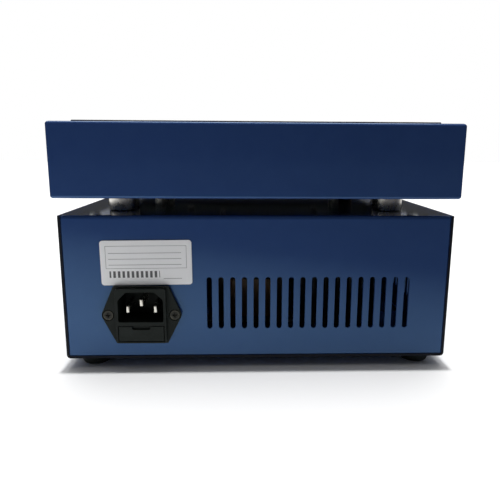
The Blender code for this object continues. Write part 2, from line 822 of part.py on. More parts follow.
# Heating plate: a thick block with blind holes for the standoffs and the probe
def build_plate():
    half = plate_width / 2
    plate = add_part("heating_plate", box_mesh("heating_plate", (-half, -half, plate_under),
                                               (half, half, plate_top)), "dark_aluminium")
    round_edges(plate, plate_edge, 2)
    low = plate_under - pan_sheet
    holes = [((x, y, low), (x, y, plate_under + stud_top_length + hole_gap), stud_radius + hole_gap)
             for _, x, y in standoff_places]
    holes.append(((probe_x, probe_y, low), (probe_x, probe_y, plate_under + probe_depth + hole_gap),
                  probe_radius + hole_gap))
    cut(plate, "plate_holes", rods_mesh("plate_holes", holes, 10))
    body = plate_under - seat_gap - (pan_top + seat_gap)
    profile = [
        (0, body + stud_top_length),
        (stud_radius, body + stud_top_length),
        (stud_radius, body),
        (standoff_radius, body),
        (standoff_radius, 0),
        (stud_radius, 0),
        (stud_radius, -stud_bottom_length),
        (0, -stud_bottom_length),
    ]
    for place, x, y in standoff_places:
        turned("plate_standoff_" + place, profile, "zinc", (x, y, pan_top + seat_gap), steps=10)
    probe_low = pan_under - probe_tail
    probe = [
        (0, plate_under + probe_depth),
        (probe_radius, plate_under + probe_depth - probe_radius / 2),
        (probe_radius, probe_low),
        (0, probe_low),
    ]
    turned("temperature_probe", probe, "zinc", (probe_x, probe_y, 0), steps=10)


# Heater lead: a stiff sleeve from the terminal block up through box top and pan
def build_lead():
    start = terminal_top + seat_gap
    bend_top = base_ceiling - grommet_flange_height - 2 * lead_radius
    end = mat_top
    curve = bpy.data.curves.new("heater_lead_sleeve", "CURVE")
    curve.dimensions = "3D"
    curve.bevel_depth = lead_radius
    curve.bevel_resolution = 3
    curve.use_fill_caps = True
    spline = curve.splines.new("POLY")
    spline.points.add(lead_points + 1)
    spline.points[0].co = (lead_x + lead_shift, lead_y, start, 1)
    bend_low = start + lead_radius / 2
    for number in range(lead_points):
        share = number / (lead_points - 1)
        ease = share * share * (3 - 2 * share)
        height = bend_low + share * (bend_top - bend_low)
        spline.points[number + 1].co = (lead_x + lead_shift * (1 - ease), lead_y, height, 1)
    spline.points[lead_points + 1].co = (lead_x, lead_y, end, 1)
    sleeve = bpy.data.objects.new("heater_lead_sleeve", curve)
    parts.objects.link(sleeve)
    finish(sleeve, "sleeve")
    flange_top = base_top + seat_gap + grommet_flange_height
    flange_low = base_ceiling - seat_gap - grommet_flange_height
    bore = lead_radius + hole_gap
    profile = [
        (grommet_flange_radius, flange_top),
        (grommet_flange_radius, base_top + seat_gap),
        (grommet_neck_radius, base_top + seat_gap),
        (grommet_neck_radius, base_ceiling - seat_gap),
        (grommet_flange_radius, base_ceiling - seat_gap),
        (grommet_flange_radius, flange_low),
        (bore, flange_low),
        (bore, flange_top),
    ]
    turned("lead_grommet", profile, "rubber", (lead_x, lead_y, 0), steps=16, closed=True)


# Mains inlet: a flange with two ears, a raised block and a socket in front of a body
def flange_outline():
    """A hexagon, narrower below, whose side tips are rounded round the screws."""
    rise = flange_height / 2
    ear = ear_spacing / 2
    tangents = []
    for side in (flange_top_flat / 2, flange_bottom_flat / 2):
        reach = hypot(side - ear, rise)
        tangents.append(atan2(rise, side - ear) - acos(ear_radius / reach))
    upper, lower = tangents
    right = [(flange_top_flat / 2, rise)]
    for number in range(ear_arc_steps + 1):
        angle = upper - (upper + lower) * number / ear_arc_steps
        right.append((ear + ear_radius * cos(angle), ear_radius * sin(angle)))
    right.append((flange_bottom_flat / 2, -rise))
    left = [(-x, z) for x, z in reversed(right)]
    return right + left


def rounded_rectangle(width, height, radius, steps=3):
    points = []
    for quarter, (x, z) in enumerate([(1, 1), (-1, 1), (-1, -1), (1, -1)]):
        for number in range(steps + 1):
            angle = pi / 2 * (quarter + number / steps)
            points.append((x * (width / 2 - radius) + radius * cos(angle),
                           z * (height / 2 - radius) + radius * sin(angle)))
    return points


def placed(points, x, z):
    return [(across + x, up + z) for across, up in points]


def socket_outline(grow=0.0):
    """The socket's outline: a rectangle with its two upper corners cut off."""
    side = socket_width / 2 + grow
    rise = socket_height / 2 + grow
    cut_back = socket_chamfer
    return [(-side, -rise), (side, -rise), (side, rise - cut_back), (side - cut_back, rise),
            (-side + cut_back, rise), (-side, rise - cut_back)]


def pin_places():
    return [
        ("live", inlet_x - pin_spacing / 2, socket_z - live_pin_drop),
        ("neutral", inlet_x + pin_spacing / 2, socket_z - live_pin_drop),
        ("earth", inlet_x, socket_z + earth_pin_rise),
    ]


def build_inlet():
    flange = outline_mesh("inlet_body", placed(flange_outline(), inlet_x, inlet_z),
                          inlet_seat, flange_front, "XZ")
    inlet = add_part("inlet_body", flange, "black_plastic")
    block = rounded_rectangle(block_width, block_height, block_edge)
    join(inlet, "inlet_block", outline_mesh("inlet_block", placed(block, inlet_x, inlet_z),
                                            flange_front - flange_thickness / 2, block_front, "XZ"))
    side = inlet_body_width / 2
    rise = inlet_body_height / 2
    join(inlet, "inlet_back", box_mesh("inlet_back", (inlet_x - side, inlet_back, inlet_z - rise),
                                       (inlet_x + side, inlet_seat + flange_thickness / 2, inlet_z + rise)))
    cut(inlet, "inlet_socket", outline_mesh("inlet_socket", placed(socket_outline(), inlet_x, socket_z),
                                            socket_floor, block_front + flange_thickness, "XZ"))
    open_front = block_front + flange_thickness
    face_side = drawer_width / 2 + hole_gap
    face_rise = drawer_height / 2 + hole_gap
    body_side = drawer_body_width / 2 + hole_gap
    body_rise = drawer_body_height / 2 + hole_gap
    cut(inlet, "inlet_drawer_face", box_mesh("inlet_drawer_face",
        (inlet_x - face_side, block_front - drawer_face - seat_gap, drawer_z - face_rise),
        (inlet_x + face_side, open_front, drawer_z + face_rise)))
    slots = [((inlet_x - body_side, block_front - drawer_depth - seat_gap, drawer_z - body_rise),
              (inlet_x + body_side, open_front, drawer_z + body_rise))]
    pin_side = pin_width / 2 + hole_gap
    pin_rise = pin_height / 2 + hole_gap
    for _, x, z in pin_places():
        slots.append(((x - pin_side, inlet_back - base_sheet, z - pin_rise),
                      (x + pin_side, socket_floor + base_sheet, z + pin_rise)))
    cut(inlet, "inlet_slots", boxes_mesh("inlet_slots", slots))
    screw_holes = []
    for side in (-1, 1):
        x = inlet_x + side * ear_spacing / 2
        screw_holes.append(((x, inlet_seat - base_sheet, inlet_z), (x, flange_front + base_sheet, inlet_z),
                            inlet_screw_radius + hole_gap))
        screw_holes.append(((x, flange_front - inlet_screw_head_height - seat_gap, inlet_z),
                            (x, flange_front + base_sheet, inlet_z), inlet_screw_head_radius + hole_gap))
    for number, hole in enumerate(screw_holes):
        cut(inlet, "inlet_screw_hole_" + str(number), rods_mesh("inlet_screw_hole", [hole], 14))


def build_pins():
    tip = block_front - pin_recess
    tail = inlet_back - pin_tail
    for name, x, z in pin_places():
        pin = add_part("inlet_pin_" + name, box_mesh("inlet_pin_" + name,
                       (-pin_width / 2, tail, -pin_height / 2), (pin_width / 2, tip, pin_height / 2)),
                       "brass", (x, 0, z))
        round_edges(pin, pin_tip, 2)


def build_inlet_screws():
    shape = [
        (0, 0),
        (inlet_screw_head_radius, 0),
        (inlet_screw_head_radius, -inlet_screw_head_height / 3),
        (inlet_screw_radius, -inlet_screw_head_height),
        (inlet_screw_radius, -inlet_screw_length),
        (0, -inlet_screw_length),
    ]
    for place, side in (("left", -1), ("right", 1)):
        x = inlet_x + side * ear_spacing / 2
        turned("inlet_screw_" + place, shape, "zinc", (x, flange_front, inlet_z), steps=14, up=(0, 1, 0))


# Fuse drawer: slides out of the inlet towards the rear with the fuse across it
def build_drawer():
    drawer = add_part("fuse_drawer", box_mesh("fuse_drawer",
                      (-drawer_width / 2, -drawer_face, -drawer_height / 2),
                      (drawer_width / 2, 0, drawer_height / 2)),
                      "black_plastic", (inlet_x, block_front, drawer_z))
    join(drawer, "drawer_body", box_mesh("drawer_body",
         (inlet_x - drawer_body_width / 2, block_front - drawer_depth, drawer_z - drawer_body_height / 2),
         (inlet_x + drawer_body_width / 2, block_front - drawer_face / 2, drawer_z + drawer_body_height / 2)))
    bay = fuse_radius + hole_gap
    bay_low = drawer_z - fuse_radius - seat_gap
    notch_side = finger_notch_width / 2
    notch_low = drawer_z + drawer_height / 2 - finger_notch_height
    hollows = [
        ((inlet_x - fuse_length / 2 - hole_gap, block_front - fuse_offset - bay, bay_low),
         (inlet_x + fuse_length / 2 + hole_gap, block_front - fuse_offset + bay, drawer_z + drawer_height)),
        ((inlet_x - notch_side, block_front - drawer_face, notch_low),
         (inlet_x + notch_side, block_front + drawer_face, drawer_z + drawer_height)),
    ]
    cut(drawer, "drawer_hollows", boxes_mesh("drawer_hollows", hollows))
    cap = fuse_cap_length
    profile = [
        (0, fuse_length / 2),
        (fuse_radius, fuse_length / 2),
        (fuse_radius, fuse_length / 2 - cap),
        (fuse_tube_radius, fuse_length / 2 - cap),
        (fuse_tube_radius, cap - fuse_length / 2),
        (fuse_radius, cap - fuse_length / 2),
        (fuse_radius, -fuse_length / 2),
        (0, -fuse_length / 2),
    ]
    turned("fuse", profile, "glass", (inlet_x, block_front - fuse_offset, drawer_z), steps=10, up=(1, 0, 0))


# Rating label: a thin plate with round corners, left bare
def build_label():
    seat = rear_face + seat_gap
    outline = rounded_rectangle(label_width, label_height, label_corner)
    label = outline_mesh("rating_label", outline, 0, label_thickness, "XZ")
    plate = add_part("rating_label", label, "label", (label_x, seat, label_z))
    plate.rotation_euler = (0, label_turn, 0)


# Display window: a lipped pane that snaps into the front of the box
def build_window():
    lip_front = front_face - seat_gap - window_lip_thickness
    side = window_width / 2 + window_lip
    rise = window_height / 2 + window_lip
    pane = add_part("display_window", box_mesh("display_window",
                    (window_x - side, lip_front, window_z - rise),
                    (window_x + side, front_face - seat_gap, window_z + rise)), "window")
    round_edges(pane, window_edge, 2)
    join(pane, "window_neck", box_mesh("window_neck",
         (window_x - window_width / 2, front_face - seat_gap - window_lip_thickness / 2,
          window_z - window_height / 2),
         (window_x + window_width / 2, front_inside + base_sheet, window_z + window_height / 2)))


# Push buttons: each slides in its hole, with a flange behind the panel
def button_places():
    first = window_x - (button_count - 1) / 2 * button_pitch
    return [first + number * button_pitch for number in range(button_count)]


def build_buttons():
    flange_top = -base_sheet - seat_gap
    flange_low = flange_top - button_flange_height
    stem_low = flange_low - button_stem_length
    profile = [
        (0, button_proud),
        (button_radius * button_crown_share, button_proud),
        (button_radius, button_proud * button_rim_share),
        (button_radius, flange_top),
        (button_flange_radius, flange_top),
        (button_flange_radius, flange_low),
        (button_stem_radius, flange_low),
        (button_stem_radius, stem_low),
        (0, stem_low),
    ]
    for number, x in enumerate(button_places()):
        turned("button_" + str(number + 1), profile, "button", (x, front_face, button_z), steps=14,
               up=(0, -1, 0))


# Control board with its display block, button switches and relay soldered on
def build_board():
    back = board_front + board_thickness
    board = add_part("control_board", box_mesh("control_board",
                     (window_x - board_width / 2, board_front, board_z - board_height / 2),
                     (window_x + board_width / 2, back, board_z + board_height / 2)), "board")
    bite = board_thickness / 2
    module_front = front_inside + base_sheet + module_depth_gap
    supply_z = board_z - supply_drop
    relay_x = window_x + relay_from_window
    blocks = [
        ((window_x - window_width / 2, module_front, window_z - window_height / 2),
         (window_x + window_width / 2, board_front + bite, window_z + window_height / 2)),
        ((window_x - supply_width, back - bite, supply_z - supply_height / 2),
         (window_x, back + supply_depth, supply_z + supply_height / 2)),
        ((relay_x - relay_width / 2, back - bite, board_z - relay_height / 2),
         (relay_x + relay_width / 2, back + relay_depth, board_z + relay_height / 2)),
    ]
    for x in button_places():
        blocks.append(((x - tact_size / 2, tact_front, button_z - tact_size / 2),
                       (x + tact_size / 2, board_front + bite, button_z + tact_size / 2)))
    join(board, "board_blocks", boxes_mesh("board_blocks", blocks))


# Power switch: a snap-in frame with a rocker on two trunnions
def build_switch():
    side = bezel_width / 2
    rise = bezel_height / 2
    bezel_back = front_face - seat_gap
    frame = add_part("switch_frame", box_mesh("switch_frame",
                     (switch_x - side, bezel_front, switch_z - rise),
                     (switch_x + side, bezel_back, switch_z + rise)), "black_plastic")
    round_edges(frame, bezel_edge, 2)
    body_back = bezel_back + switch_body_depth
    body_side = switch_body_width / 2
    body_rise = switch_body_height / 2
    join(frame, "switch_body", box_mesh("switch_body",
         (switch_x - body_side, bezel_back - bezel_thickness / 2, switch_z - body_rise),
         (switch_x + body_side, body_back, switch_z + body_rise)))
    blade = switch_terminal_thickness / 2
    blade_side = switch_terminal_width / 2
    terminals = [((switch_x - blade_side, body_back - bezel_thickness, z - blade),
                  (switch_x + blade_side, body_back + switch_terminal_length, z + blade))
                 for z in (switch_z - switch_terminal_pitch / 2, switch_z + switch_terminal_pitch / 2)]
    join(frame, "switch_terminals", boxes_mesh("switch_terminals", terminals))
    pocket_side = rocker_width / 2 + rocker_side_gap
    pocket_rise = rocker_reach + rocker_side_gap
    low_corner = radians(-rocker_back_angle + rocker_tilt)
    pocket_back = pivot_y + rocker_reach * sin(low_corner) + rocker_side_gap
    cut(frame, "switch_pocket", box_mesh("switch_pocket",
        (switch_x - pocket_side, bezel_front - bezel_thickness, switch_z - pocket_rise),
        (switch_x + pocket_side, pocket_back, switch_z + pocket_rise)))
    cut(frame, "trunnion_holes", rods_mesh("trunnion_holes",
        [((switch_x - bezel_width, pivot_y, switch_z), (switch_x + bezel_width, pivot_y, switch_z),
          trunnion_radius + hole_gap)], 12))


def rocker_outline():
    """Side view about the pivot: a dished front between two round ends."""
    front = radians(rocker_front_angle)
    back = radians(rocker_back_angle)
    step = (back - front) / rocker_arc_steps
    upper = [(rocker_reach * cos(front + step * number), rocker_reach * sin(front + step * number))
             for number in range(rocker_arc_steps + 1)]
    points = [(0, rocker_dish)]
    points += upper
    points += [(-along, out) for along, out in reversed(upper)]
    return [(-out, along) for along, out in points]


def build_rocker():
    half = rocker_width / 2
    mesh = outline_mesh("switch_rocker", rocker_outline(), -half, half, "YZ")
    rocker = add_part("switch_rocker", mesh, "black_plastic", (switch_x, pivot_y, switch_z))
    rocker.rotation_euler = (radians(rocker_tilt), 0, 0)
    trunnion = half + trunnion_length
    join(rocker, "trunnions", rods_mesh("trunnions",
         [((switch_x - trunnion, pivot_y, switch_z), (switch_x + trunnion, pivot_y, switch_z),
           trunnion_radius)], 12))


# Transformer: a laminated core round its coil, on a bracket on the floor
def build_transformer():
    x = transformer_x
    y = transformer_y
    seat = floor_top + seat_gap
    core_low = seat + bracket_thickness / 2
    core_top = core_low + core_height
    middle = (core_low + core_top) / 2
    core = add_part("transformer", box_mesh("transformer",
                    (x - core_width / 2, y - core_depth / 2, core_low),
                    (x + core_width / 2, y + core_depth / 2, core_top)), "core")
    join(core, "transformer_coil", box_mesh("transformer_coil",
         (x - coil_width / 2, y - coil_depth / 2, middle - coil_height / 2),
         (x + coil_width / 2, y + coil_depth / 2, middle + coil_height / 2)))
    join(core, "transformer_bracket", box_mesh("transformer_bracket",
         (x - bracket_width / 2, y - bracket_depth / 2, seat),
         (x + bracket_width / 2, y + bracket_depth / 2, seat + bracket_thickness)))


# Heat sink with fins, and the triac bolted against its flat back
def build_heat_sink():
    seat = floor_top + seat_gap
    half = sink_width / 2
    step = (sink_width - sink_fin) / (sink_fin_count - 1)
    fins = []
    for number in range(sink_fin_count):
        left = sink_x - half + number * step
        fins.append(((left, sink_y + sink_back / 2, seat),
                     (left + sink_fin, sink_y + sink_back + sink_fin_length, seat + sink_height)))
    sink = add_part("triac_heat_sink", box_mesh("triac_heat_sink", (sink_x - half, sink_y, seat),
                    (sink_x + half, sink_y + sink_back, seat + sink_height)), "zinc")
    join(sink, "sink_fins", boxes_mesh("sink_fins", fins))
    top = seat + sink_height - triac_drop
    face = sink_y - seat_gap
    side = triac_width / 2
    body_top = top - triac_hole_part
    triac = add_part("power_triac", box_mesh("power_triac",
                     (sink_x - side, face - triac_tab, top - triac_height),
                     (sink_x + side, face, top)), "black_plastic")
    join(triac, "triac_body", box_mesh("triac_body",
         (sink_x - side + triac_step, face - triac_depth, top - triac_height + triac_step),
         (sink_x + side - triac_step, face - triac_tab / 2, body_top)))


# Ceramic terminal block where the heater leads end
def build_terminal_block():
    x = lead_x + lead_shift
    seat = floor_top + seat_gap
    body_side = block_terminal_width / 2
    body_reach = block_terminal_depth / 2
    body = add_part("terminal_block", box_mesh("terminal_block",
                    (x - body_side, lead_y - body_reach, seat),
                    (x + body_side, lead_y + body_reach, terminal_top)), "ceramic")
    ribs = []
    reach = body_reach - 2 * barrier_inset
    for number in (-1, 1):
        middle = x + number * (block_terminal_width / 2 - barrier_inset - barrier_width / 2)
        ribs.append(((middle - barrier_width / 2, lead_y - reach, terminal_top - barrier_width),
                     (middle + barrier_width / 2, lead_y + reach,
                      terminal_top + barrier_rise)))
    join(body, "terminal_ribs", boxes_mesh("terminal_ribs", ribs))


build_chassis()
build_cover()
build_feet()
build_cover_screws()
build_posts()
build_tray()
build_tray_screws()
build_pan()
build_mat_and_heater()
build_plate()
build_lead()
build_inlet()
build_pins()
build_inlet_screws()
build_drawer()
build_label()
build_window()
build_buttons()
build_board()
build_switch()
build_rocker()
build_transformer()
build_heat_sink()
build_terminal_block()
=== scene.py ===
from math import acos, atan2, cos, hypot, pi, radians, sin, tan

import bmesh
import bpy
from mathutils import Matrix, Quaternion, Vector


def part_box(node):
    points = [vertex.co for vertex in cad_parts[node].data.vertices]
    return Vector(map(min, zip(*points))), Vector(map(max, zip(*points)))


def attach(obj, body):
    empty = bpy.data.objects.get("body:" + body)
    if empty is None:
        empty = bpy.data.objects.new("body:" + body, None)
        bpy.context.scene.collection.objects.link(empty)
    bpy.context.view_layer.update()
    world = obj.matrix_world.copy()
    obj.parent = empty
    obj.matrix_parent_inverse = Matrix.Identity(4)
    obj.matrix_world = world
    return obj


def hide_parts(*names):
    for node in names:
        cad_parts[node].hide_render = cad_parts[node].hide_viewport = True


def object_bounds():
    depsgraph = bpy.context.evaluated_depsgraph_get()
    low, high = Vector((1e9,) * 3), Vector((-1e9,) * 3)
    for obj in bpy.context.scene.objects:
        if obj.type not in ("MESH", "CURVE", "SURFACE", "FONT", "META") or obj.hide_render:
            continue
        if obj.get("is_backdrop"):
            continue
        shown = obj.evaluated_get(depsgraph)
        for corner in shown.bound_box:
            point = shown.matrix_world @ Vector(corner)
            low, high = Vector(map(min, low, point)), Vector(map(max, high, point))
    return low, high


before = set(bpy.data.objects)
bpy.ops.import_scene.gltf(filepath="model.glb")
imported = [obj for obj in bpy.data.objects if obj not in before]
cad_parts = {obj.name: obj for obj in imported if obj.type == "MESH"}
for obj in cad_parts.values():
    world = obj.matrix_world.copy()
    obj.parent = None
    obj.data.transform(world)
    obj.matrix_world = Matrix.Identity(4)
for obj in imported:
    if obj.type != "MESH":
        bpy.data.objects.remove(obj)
cad_low, cad_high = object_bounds()
MM = 0.001

# View: the rear of the hot plate from a little above its middle, at arm's length, with the
# lens turned slightly to one side.
eye = Vector((0.00757, 0.3482, 0.11254))
view_drop = radians(11.1)
view_turn = radians(1.893)
view_tilt = radians(0.323)
ahead = Vector((-sin(view_turn) * cos(view_drop), -cos(view_turn) * cos(view_drop), -sin(view_drop)))
bpy.ops.object.camera_add(location=eye)
camera = bpy.context.object
camera.name = "photo_camera"
camera.rotation_mode = "QUATERNION"
level = ahead.to_track_quat("-Z", "Y")
camera.rotation_quaternion = level @ Quaternion((0, 0, 1), view_tilt)
camera.data.sensor_width = 36.0
camera.data.lens = 36.36
camera.data.shift_x = -0.0186
camera.data.shift_y = -0.004
camera.data.clip_start = 0.01
bpy.context.scene.camera = camera
bpy.context.scene.view_settings.view_transform = "Standard"


# Floor: a large sheet of white paper that the hot plate stands on. Past the rear of the object it is
# painted dark for the light it bounces, as painted shade of a dim room; the camera sees it evenly pale.
def add_node(tree, kind, values=None, **settings):
    """Adds a shader node, sets its options, then its inputs; an input is a value or a socket."""
    node = tree.nodes.new(kind)
    for name, value in settings.items():
        setattr(node, name, value)
    for name, value in (values or {}).items():
        if isinstance(value, bpy.types.NodeSocket):
            tree.links.new(value, node.inputs[name])
        else:
            node.inputs[name].default_value = value
    return node


def maths(tree, operation, *values, clamp=False):
    """A sum, a product or the like of values or sockets."""
    return add_node(tree, "ShaderNodeMath", dict(enumerate(values)), operation=operation,
                    use_clamp=clamp).outputs[0]


def spread(tree, socket, low, high, start=0.3, stop=0.7, curve="LINEAR"):
    """Maps what lies between start and stop to a range, such as a roughness from low to high."""
    return add_node(tree, "ShaderNodeMapRange", {"Value": socket, "From Min": start, "From Max": stop,
                                                 "To Min": low, "To Max": high},
                    interpolation_type=curve).outputs["Result"]


def blend_colours(tree, mask, under, over):
    """Mixes two colours or colour sockets by a mask socket."""
    return add_node(tree, "ShaderNodeMix", {"Factor": mask, "A": under, "B": over},
                    data_type="RGBA").outputs["Result"]


def place_axes(tree, origin=(0, 0, 0), turn=(0, 0, 0)):
    """The three coordinates in the object's space, seen from an origin and a turn."""
    place = add_node(tree, "ShaderNodeTexCoord").outputs["Object"]
    if any(origin) or any(turn):
        place = add_node(tree, "ShaderNodeMapping", {"Vector": place, "Location": origin,
                                                     "Rotation": turn},
                         vector_type="TEXTURE").outputs["Vector"]
    return add_node(tree, "ShaderNodeSeparateXYZ", {0: place}).outputs[:3]


def from_screen(red, green, blue):
    """A colour read off a screen, as the shader wants it."""
    shares = [value / 255 for value in (red, green, blue)]
    return tuple(share / 12.92 if share < 0.04045 else ((share + 0.055) / 1.055) ** 2.4
                 for share in shares) + (1.0,)


paper_near = 0.10
paper_far = 0.42
paper_slant = 0.63
paper_front = 0.35
bpy.ops.object.select_all(action="DESELECT")
bpy.ops.mesh.primitive_plane_add(size=8.0)
floor = bpy.context.object
floor.name = "paper_floor"
paper = bpy.data.materials.new("white_paper")
paper.use_nodes = True
tree = paper.node_tree
shader = tree.nodes["Principled BSDF"]
shader.inputs["Roughness"].default_value = 0.9
shader.inputs["Specular IOR Level"].default_value = 0.1
x, y, z = place_axes(tree)
seen = add_node(tree, "ShaderNodeLightPath").outputs["Is Camera Ray"]
reach = maths(tree, "MAXIMUM", maths(tree, "MULTIPLY_ADD", x, -paper_slant, y),
              maths(tree, "SUBTRACT", -paper_front, y))
# Painted shade: the paper's colour darkens with distance, for bounced light only.
dimming = maths(tree, "SUBTRACT", spread(tree, reach, 0.0, 1.0, paper_near, paper_far), seen,
                clamp=True)
near_tone = blend_colours(tree, seen, (0.95, 0.95, 0.95, 1.0), (0.845, 0.845, 0.845, 1.0))
tree.links.new(blend_colours(tree, dimming, near_tone, (0.10, 0.10, 0.11, 1.0)),
               shader.inputs["Base Color"])
floor.data.materials.append(paper)
floor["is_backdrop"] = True

# Light: a small bright lamp almost straight overhead and a broad soft one that leans to the
# front of the object, in a room that is bright above the front and dim all round.
lamps = [("overhead_lamp", radians(1.6), radians(2.2), 2.25, False),
         ("soft_source", radians(44), radians(20), 1.6, True)]
room_bright = 0.62
room_dim = 0.07
for name, wide, lean, power, glints in lamps:
    bpy.ops.object.light_add(type="SUN", location=(0, 0, 1), rotation=(lean, 0, 0))
    lamp = bpy.context.object
    lamp.name = name
    lamp.data.angle = wide
    lamp.data.energy = power
    lamp.visible_glossy = glints
room = bpy.data.worlds.new("room")
room.use_nodes = True
bpy.context.scene.world = room
tree = room.node_tree
sky = tree.nodes["Background"]
sky.inputs["Color"].default_value = (1.0, 1.0, 1.0, 1.0)
way = add_node(tree, "ShaderNodeTexCoord").outputs["Generated"]
x, y, z = add_node(tree, "ShaderNodeSeparateXYZ", {0: way}).outputs
above_front = maths(tree, "MULTIPLY",
                    spread(tree, y, room_bright, room_dim, -0.15, 0.55, "SMOOTHSTEP"),
                    spread(tree, z, 0.0, 1.0, 0.12, 0.5, "SMOOTHSTEP"))
glow = maths(tree, "MAXIMUM", above_front, room_dim)
seen = add_node(tree, "ShaderNodeLightPath").outputs["Is Camera Ray"]
white = add_node(tree, "ShaderNodeMix", {"Factor": seen, "A": glow, "B": 1.0}, data_type="FLOAT")
tree.links.new(white.outputs["Result"], sky.inputs["Strength"])


# Chassis of the lower box: 1.5 mm steel sheet folded to a floor and two sides, each side
# punched with eighteen upright vent slots, then powder painted blue.
def block(name, low, high):
    """A plain block between two corners, to be shaped further."""
    low, high = Vector(low), Vector(high)
    bpy.ops.object.select_all(action="DESELECT")
    bpy.ops.mesh.primitive_cube_add(size=1.0, location=(low + high) / 2, scale=high - low)
    piece = bpy.context.object
    piece.name = piece.data.name = name
    bpy.ops.object.transform_apply(location=True, rotation=True, scale=True)
    return piece


def slab(name, x, z, half_width, half_height, rear, front):
    """A block evenly round x and z, by half its sizes in millimetres, between two places in y."""
    across, up = half_width * MM, half_height * MM
    return block(name, (x - across, rear, z - up), (x + across, front, z + up))


def cylinder(sides, radius, depth, place=(0, 0, 0), turn=(0, 0, 0)):
    """A round bar through a place; without a turn it stands upright."""
    bpy.ops.object.select_all(action="DESELECT")
    bpy.ops.mesh.primitive_cylinder_add(vertices=sides, radius=radius, depth=depth,
                                        location=place, rotation=turn)
    bpy.ops.object.transform_apply(location=True, rotation=True, scale=True)
    return bpy.context.object


def take(piece):
    """Makes one piece the only selected and the active one."""
    if bpy.context.object and bpy.context.object.mode != "OBJECT":
        bpy.ops.object.mode_set(mode="OBJECT")
    bpy.ops.object.select_all(action="DESELECT")
    piece.select_set(True)
    bpy.context.view_layer.objects.active = piece


def pick(piece, kind, test):
    """Opens a piece in edit mode with the faces, edges or points that pass the test selected."""
    take(piece)
    bpy.ops.object.mode_set(mode="EDIT")
    bpy.ops.mesh.select_mode(type=kind)
    bpy.ops.mesh.select_all(action="DESELECT")
    form = bmesh.from_edit_mesh(piece.data)
    for part in {"FACE": form.faces, "EDGE": form.edges, "VERT": form.verts}[kind]:
        if test(part):
            part.select_set(True)
    bmesh.update_edit_mesh(piece.data)


def close_edit():
    bpy.ops.object.mode_set(mode="OBJECT")


def round_edges(piece, test, width, steps, kind="EDGE"):
    """Rounds the edges that pass the test, or those of the faces that pass it."""
    pick(piece, kind, test)
    bpy.ops.mesh.bevel(offset=width, segments=steps, affect="EDGES")
    close_edit()


def inset_faces(piece, test, width, depth=0):
    """Draws a border inside the faces that pass the test, and raises them by a depth."""
    pick(piece, "FACE", test)
    bpy.ops.mesh.inset(thickness=width, depth=depth)
    close_edit()


def faces_out(piece):
    """Turns all faces of a closed piece outwards."""
    take(piece)
    bpy.ops.object.mode_set(mode="EDIT")
    bpy.ops.mesh.select_all(action="SELECT")
    bpy.ops.mesh.remove_doubles(threshold=0.000001)
    bpy.ops.mesh.normals_make_consistent(inside=False)
    close_edit()


def carve(piece, tool, operation="DIFFERENCE"):
    """Cuts the tool out of a piece, or joins it on, and throws the tool away."""
    step = piece.modifiers.new("carving", "BOOLEAN")
    step.operation = operation
    step.solver = "EXACT"
    step.object = tool
    take(piece)
    bpy.ops.object.modifier_apply(modifier=step.name)
    bpy.data.objects.remove(tool, do_unlink=True)


def smooth(limit=38):
    """Shades the active piece smooth up to a turn of so many degrees between faces."""
    bpy.ops.object.shade_smooth_by_angle(angle=radians(limit))


def soften(piece, width, steps=2, limit=50):
    """Breaks the sharp edges by a small rounding and shades the rest smooth."""
    edge = piece.modifiers.new("softening", "BEVEL")
    edge.width = width
    edge.segments = steps
    edge.limit_method = "ANGLE"
    edge.angle_limit = radians(limit)
    take(piece)
    bpy.ops.object.modifier_apply(modifier=edge.name)
    smooth()
    level = piece.modifiers.new("level_faces", "WEIGHTED_NORMAL")
    level.keep_sharp = True
    level.weight = 80
    bpy.ops.object.modifier_apply(modifier=level.name)


def thicken(piece, thickness):
    wall = piece.modifiers.new("sheet", "SOLIDIFY")
    wall.thickness = thickness
    wall.offset = -1.0
    wall.use_even_offset = True
    take(piece)
    bpy.ops.object.modifier_apply(modifier=wall.name)


def repeat(piece, count, step):
    """Repeats a piece in a row."""
    row = piece.modifiers.new("row", "ARRAY")
    row.use_relative_offset = False
    row.use_constant_offset = True
    row.constant_offset_displace = step
    row.count = count
    take(piece)
    bpy.ops.object.modifier_apply(modifier=row.name)


def slot_tool(centre, wall_side, count, pitch):
    """A row of upright slots with round ends, for cutting through a wall."""
    half_turn = pi / slot_sides
    turn = (pi / 2, half_turn, pi / 2 if wall_side == "X" else 0)
    tool = cylinder(slot_sides, slot_width / 2, slot_cut, centre, turn)
    for side in (-1, 1):
        pick(tool, "VERT", lambda point: (point.co.z - centre[2]) * side > 0)
        bpy.ops.transform.translate(value=(0, 0, side * (slot_height - slot_width) / 2))
    close_edit()
    repeat(tool, count, (0, pitch, 0) if wall_side == "X" else (pitch, 0, 0))
    return tool


def new_group(name, inputs, outputs):
    """An empty node group with named inputs and outputs."""
    group = bpy.data.node_groups.new(name, "ShaderNodeTree")
    for label, kind, value in inputs:
        socket = group.interface.new_socket(name=label, in_out="INPUT", socket_type=kind)
        if value is not None:
            socket.default_value = value
    for label, kind in outputs:
        group.interface.new_socket(name=label, in_out="OUTPUT", socket_type=kind)
    given, result = group.nodes.new("NodeGroupInput"), group.nodes.new("NodeGroupOutput")
    return group, given.outputs, result.inputs


def use_group(tree, group, **values):
    """Places a node group in a material with its own values and sockets."""
    return add_node(tree, "ShaderNodeGroup", values, node_tree=group)


def noise(tree, place, scale, detail, roughness):
    """A cloud pattern over a place socket."""
    return add_node(tree, "ShaderNodeTexNoise", {"Vector": place, "Scale": scale, "Detail": detail,
                                                 "Roughness": roughness}).outputs["Fac"]


